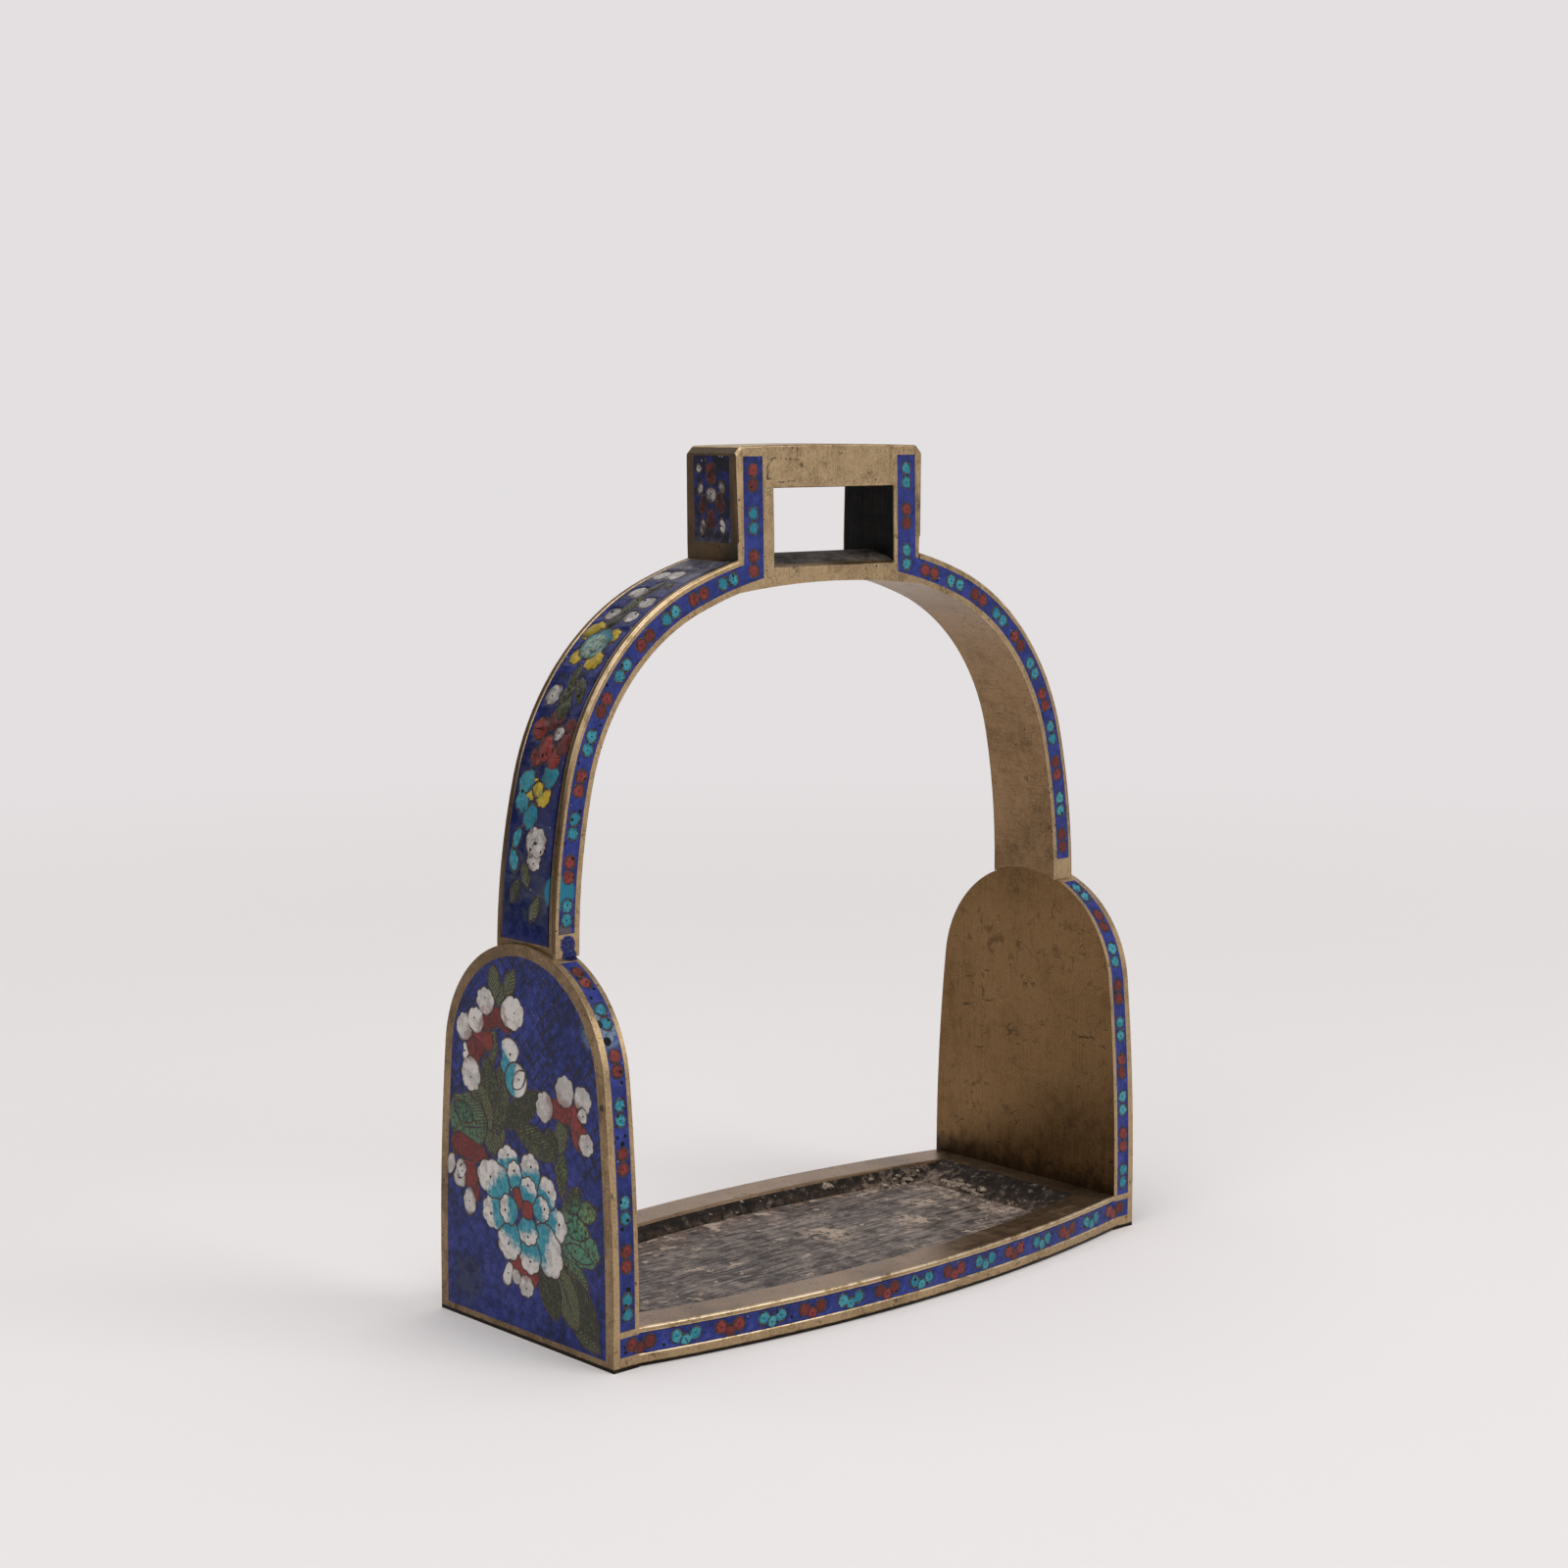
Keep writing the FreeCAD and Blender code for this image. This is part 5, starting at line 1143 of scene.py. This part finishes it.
def makeBlossoms(name, pieceName, look, facing):
    cells = mergedCopy(name)
    shape = bmesh.new()
    placeLayer, sizeLayer = addLayers(shape)
    chances = random.Random(name)
    count = stripLook["steps"]
    mean = (stripLook["least"] + stripLook["most"]) / 2
    swing = (stripLook["most"] - stripLook["least"]) / 2
    for group in islands(cells):
        lids = [face for face in facesOf(group) if looksOut(face, facing)]
        flat = areaOf(lids).normalized()
        upper = sorted({vertex for face in lids for vertex in face.verts}, key=lambda vertex: vertex.index)
        middle = middleOf(upper)
        offsets = [vertex.co - middle for vertex in upper]
        up = max(offsets, key=lambda offset: offset.length)
        up = (up - flat * up.dot(flat)).normalized()
        sideways = flat.cross(up)
        halfWidth = max(abs(offset.dot(sideways)) for offset in offsets)
        halfLength = max(abs(offset.dot(up)) for offset in offsets)
        limit = stripLook["tallest"] * halfLength
        chance = chances.random()
        waves = []
        for wave in stripLook["waves"]:
            waves.append((wave, chances.uniform(0.3, 1.0), chances.uniform(0, 2 * math.pi)))
        # rings of vertices from the foot of the rim to the middle of the lid
        rings = []
        layout = [(1.0, stripLook["thickness"])] + [(share, 0.0) for share in stripLook["ringShares"]]
        for share, sunk in layout:
            ring = []
            for step in range(count):
                turn = 2 * math.pi * step / count
                ragged = sum(size * math.sin(wave * turn + start) for wave, size, start in waves)
                reach = mean + ragged / stripLook["waveSum"] * swing
                across = math.sin(turn) * halfWidth * reach * share
                along = max(-limit, min(limit, math.cos(turn) * halfLength * reach * share))
                vertex = shape.verts.new(middle + sideways * across + up * along - flat * sunk * millimetre)
                vertex[placeLayer] = Vector((across / millimetre, along / millimetre, chance))
                vertex[sizeLayer] = Vector((halfWidth / millimetre, halfLength / millimetre, 0.0))
                ring.append(vertex)
            rings.append(ring)
        for outer, inner in zip(rings, rings[1:]):
            for step in range(count):
                after = (step + 1) % count
                shape.faces.new((outer[step], outer[after], inner[after], inner[step]))
        lid = shape.faces.new(rings[-1])
        lid.normal_update()
        if lid.normal.dot(flat) < 0:
            made = {face for ring in rings for vertex in ring for face in vertex.link_faces}
            bmesh.ops.reverse_faces(shape, faces=list(made))
    cells.free()
    return placePiece(shape, pieceName, [name], [look])


def makeSunk(name, slot, facing):
    # a copy of a panel's blue or wires with its outer faces a little lower
    shape = mergedCopy(name)
    ways = []
    for vertex in shape.verts:
        ways.append((vertex, areaOf(face for face in vertex.link_faces if looksOut(face, facing))))
    for vertex, way in ways:
        if way.length > 0:
            vertex.co -= way.normalized() * stripLook["sunk"] * millimetre
    return placePiece(shape, camel(name), [name], [slotMaterials[slot]])


# Where the petals of the side plates' flowers turn their bases: back from the middle and up, in millimetres.
petalHearts = ((-1.0, 23.4), (9.0, 48.0))
cellKinds = {
    "plate_red_calyxes": "red_enamel",
    "plate_green_leaves": "green_enamel",
    "bow_white_cells": "white_enamel",
    "bow_green_cells": "green_enamel",
    "bow_yellow_cells": "yellow_enamel",
    "bow_red_cells": "red_enamel",
    "bow_turquoise_cells": "turquoise_enamel",
    "loop_red_cells": "red_enamel",
    "loop_pale_cells": "white_enamel",
}
for side in sides:
    outer = plateFace * (-1 if side == "left" else 1)
    hearts = [Vector((outer, back * millimetre, up * millimetre)) for back, up in petalHearts]
    petals = f"{side}_plate_flower_petals"
    makeCells(petals, camel(petals), "petal", hearts)
    petals = f"{side}_plate_white_petals"
    calyxes = middlesOf(f"{side}_plate_red_calyxes")
    makeCells(petals, camel(petals), "whiteCell", calyxes, raggedGlass["plate"])
    for ending, slot in cellKinds.items():
        if ending.startswith("bow"):
            look, ragged = wornCells[slot], raggedGlass["bow"]
        else:
            look, ragged = slotMaterials[slot], raggedGlass["plate"] if ending == "plate_red_calyxes" else 0.0
        makeCells(f"{side}_{ending}", camel(f"{side}_{ending}"), look, ragged=ragged)
for facing in facings:
    for colour in ("red", "turquoise"):
        blossoms = f"{facing}_{colour}_blossoms"
        makeBlossoms(blossoms, camel(blossoms), f"{colour}Blossom", facing)
    makeSunk(f"{facing}_strip_wires", "wire", facing)
    makeSunk(f"{facing}_foot_ground", "blue_enamel", facing)
    for side in sides:
        makeSunk(f"{facing}_{side}_plate_edge_ground", "blue_enamel", facing)
        makeSunk(f"{facing}_{side}_bow_edge_ground", "blue_enamel", facing)
for side in sides:
    for panel, facing in (("bow", "side"), ("plate", "plate")):
        makeSunk(f"{side}_{panel}_ground", "blue_enamel", facing)
        makeSunk(f"{side}_{panel}_wires", "wire", facing)
print("cells made")

# the tread, the plug and the loop's blue and wires keep their CAD shapes and take the new finishes
slotOf = {part["node"]: part["material_slot"] for part in frame["record"]["subparts"]}
for name, thing in nodes.items():
    if not thing.hide_render:
        thing.data.materials.clear()
        thing.data.materials.append(materials[slotMaterials[slotOf[name]]])


# Dried dirt in the recess, in millimetres: clusters by place, spread, count and largest size.
lumpLook = {
    "clusters": (
        ((43.5, 18.5), (5.0, 2.0), 30, 0.9),
        ((50.0, 9.0), (1.8, 6.0), 20, 1.5),
        ((48.0, -8.0), (1.5, 6.0), 10, 0.7),
        ((26.0, 22.8), (1.2, 0.8), 4, 1.6),
        ((8.0, 24.0), (24.0, 0.8), 18, 0.6),
        ((-34.0, 22.0), (6.0, 1.0), 6, 0.9),
    ),
    "scatter": 0.6,
    "smallest": 0.20,
    "flatness": 0.45,
    "narrowness": 0.7,
    "swell": 0.25,
    "ripple": 0.12,
    "seed": 11,
}


def lumpSpot(surface, x, y):
    # where a lump lies on the recess, or None beyond it
    spot = surface.ray_cast(Vector((x, y, footTop * 2)), Vector((0, 0, -1)))[0]
    return spot if spot and spot.z <= footTop - margin else None


def makeLumps():
    chances = random.Random(lumpLook["seed"])
    ground = bmesh.new()
    for name in ("foot_plate", "tread_plate"):
        ground.from_mesh(nodes[name].data)
    surface = BVHTree.FromBMesh(ground)
    ground.free()
    shape = bmesh.new()
    flatness, narrowness = lumpLook["flatness"], lumpLook["narrowness"]
    for (midX, midY), (spreadX, spreadY), count, largest in lumpLook["clusters"]:
        for _ in range(count):
            x = (midX + chances.gauss(0, lumpLook["scatter"]) * spreadX) * millimetre
            y = (midY + chances.gauss(0, lumpLook["scatter"]) * spreadY) * millimetre
            spot = lumpSpot(surface, x, y)
            if not spot:
                continue
            size = lumpLook["smallest"] + (largest - lumpLook["smallest"]) * chances.random() ** 2
            size = min(size * millimetre, (footTop - spot.z) / (flatness * 1.5))
            made = bmesh.ops.create_icosphere(shape, subdivisions=3, radius=size)["verts"]
            turn = chances.random() * math.pi
            wave = chances.random() * 6.0
            for vertex in made:
                along, across, up = (part / size for part in vertex.co)
                swell = 1.0 + lumpLook["swell"] * math.sin(along * 3.1 + wave) * math.cos(across * 2.7 - wave)
                swell += lumpLook["ripple"] * math.sin((along + across - up) * 6.3 + wave)
                far = (along * math.cos(turn) - across * math.sin(turn) * narrowness) * size * swell
                aside = (along * math.sin(turn) + across * math.cos(turn) * narrowness) * size * swell
                vertex.co = spot + Vector((far, aside, up * size * flatness * swell))
    for face in shape.faces:
        face.smooth = True
    placePiece(shape, "recessDirt", [], ["crust"])


makeLumps()
print("dirt laid")


# The studio, in metres; the floor's fade is in millimetres from the stirrup.
studio = {
    "eye": (-0.3589, -0.3853, 0.1605),
    "target": (-0.0054, 0.0, 0.0929),
    "roll": 0.11,
    "lens": 65.24,
    "sensor": 36.0,
    "clip": (0.01, 20.0),
    "floorReach": 3.0,
    "floorColour": (0.90, 0.868, 0.862),
    "nearColour": (0.860, 0.828, 0.828),
    "backColour": (0.775, 0.745, 0.752),
    "floorFade": (260, 800),
    "floorInGloss": 0.25,
    "lampAim": (0.0, 0.0, 0.06),
    "lamps": {
        "overhead": {"at": (-0.10, 0.10, 1.25), "size": 1.0, "power": 6.5},
        "leftBox": {"at": (-1.15, -0.35, 0.75), "size": 0.8, "power": 2.8},
        "frontBox": {"at": (0.55, -1.25, 0.80), "size": 0.9, "power": 7.2},
    },
}
# Soft light from all round, weaker from the far left. Metal mirrors the backdrop only where it stands.
surround = {
    "colour": (1.0, 0.985, 0.98),
    "brightWay": (0.67, -0.70, 0.25),
    "brightEdge": (-0.9, 0.3),
    "strengths": (0.08, 0.46),
    "backdropWay": (0.66, 0.75, 0.0),
    "backdropEdge": (0.45, 0.80),
}


def stand(name, data, place, way, roll=0.0):
    # a lamp or a camera at its place, looking along its way
    thing = bpy.data.objects.new(name, data)
    bpy.context.scene.collection.objects.link(thing)
    thing.location = place
    thing.rotation_mode = "QUATERNION"
    thing.rotation_quaternion = way.to_track_quat("-Z", "Y") @ Quaternion((0, 0, 1), math.radians(roll))
    return thing


def makeCamera():
    data = bpy.data.cameras.new("photoCamera")
    data.sensor_width = studio["sensor"]
    data.sensor_fit = "HORIZONTAL"
    data.lens = studio["lens"]
    data.clip_start, data.clip_end = studio["clip"]
    way = Vector(studio["target"]) - Vector(studio["eye"])
    bpy.context.scene.camera = stand("photoCamera", data, studio["eye"], way, studio["roll"])


def makeLamps():
    for name, lamp in studio["lamps"].items():
        data = bpy.data.lights.new(name, "AREA")
        data.shape = "SQUARE"
        data.size = lamp["size"]
        data.energy = lamp["power"]
        stand(name, data, lamp["at"], Vector(studio["lampAim"]) - Vector(lamp["at"]))


def makeFloor():
    shape = bmesh.new()
    bmesh.ops.create_circle(shape, cap_ends=True, cap_tris=False, radius=studio["floorReach"], segments=96)
    floor = newObject(shape, "floor")
    paint = newPaint("paleFloor")
    reach = paint.node("ShaderNodeVectorMath", {"operation": "LENGTH"}, {0: paint.place}, 1)
    far = reach.over(*studio["floorFade"])
    lit = paint.node("ShaderNodeBsdfDiffuse", {}, {"Color": studio["floorColour"]})
    tone = paint.mix(far, studio["nearColour"], studio["backColour"])
    plain = paint.node("ShaderNodeEmission", {}, {"Color": tone, "Strength": 1.0})
    seen = paint.ray("Is Camera Ray") + paint.ray("Is Glossy Ray") * studio["floorInGloss"]
    shader = paint.node("ShaderNodeMixShader", {}, {0: far * seen, 1: lit, 2: plain})
    floor.data.materials.append(paint.show(shader))


def makeSurround():
    # the camera sees a plain pale backdrop, and the object is lit by the soft surround
    paint = Paint(bpy.data.worlds.new("studioSurround"), "Generated", 1)
    bpy.context.scene.world = paint.owner
    dot = {"operation": "DOT_PRODUCT"}
    bright = paint.node("ShaderNodeVectorMath", dot, {0: paint.place, 1: surround["brightWay"]}, "Value")
    ahead = paint.node("ShaderNodeVectorMath", dot, {0: paint.place, 1: surround["backdropWay"]}, "Value")
    level = bright.eased(*surround["brightEdge"], *surround["strengths"])
    light = paint.node("ShaderNodeBackground", {}, {"Color": surround["colour"], "Strength": level})
    backdrop = paint.node("ShaderNodeBackground", {}, {"Color": studio["backColour"]})
    mirrored = paint.ray("Is Glossy Ray").most(paint.ray("Is Transmission Ray"))
    mirrored = mirrored * ahead.over(*surround["backdropEdge"])
    shares = {0: paint.ray("Is Camera Ray").most(mirrored), 1: light, 2: backdrop}
    paint.show(paint.node("ShaderNodeMixShader", {}, shares), "ShaderNodeOutputWorld")


makeCamera()
makeLamps()
makeFloor()
makeSurround()
bpy.context.scene.view_settings.view_transform = "Standard"
print("studio set")
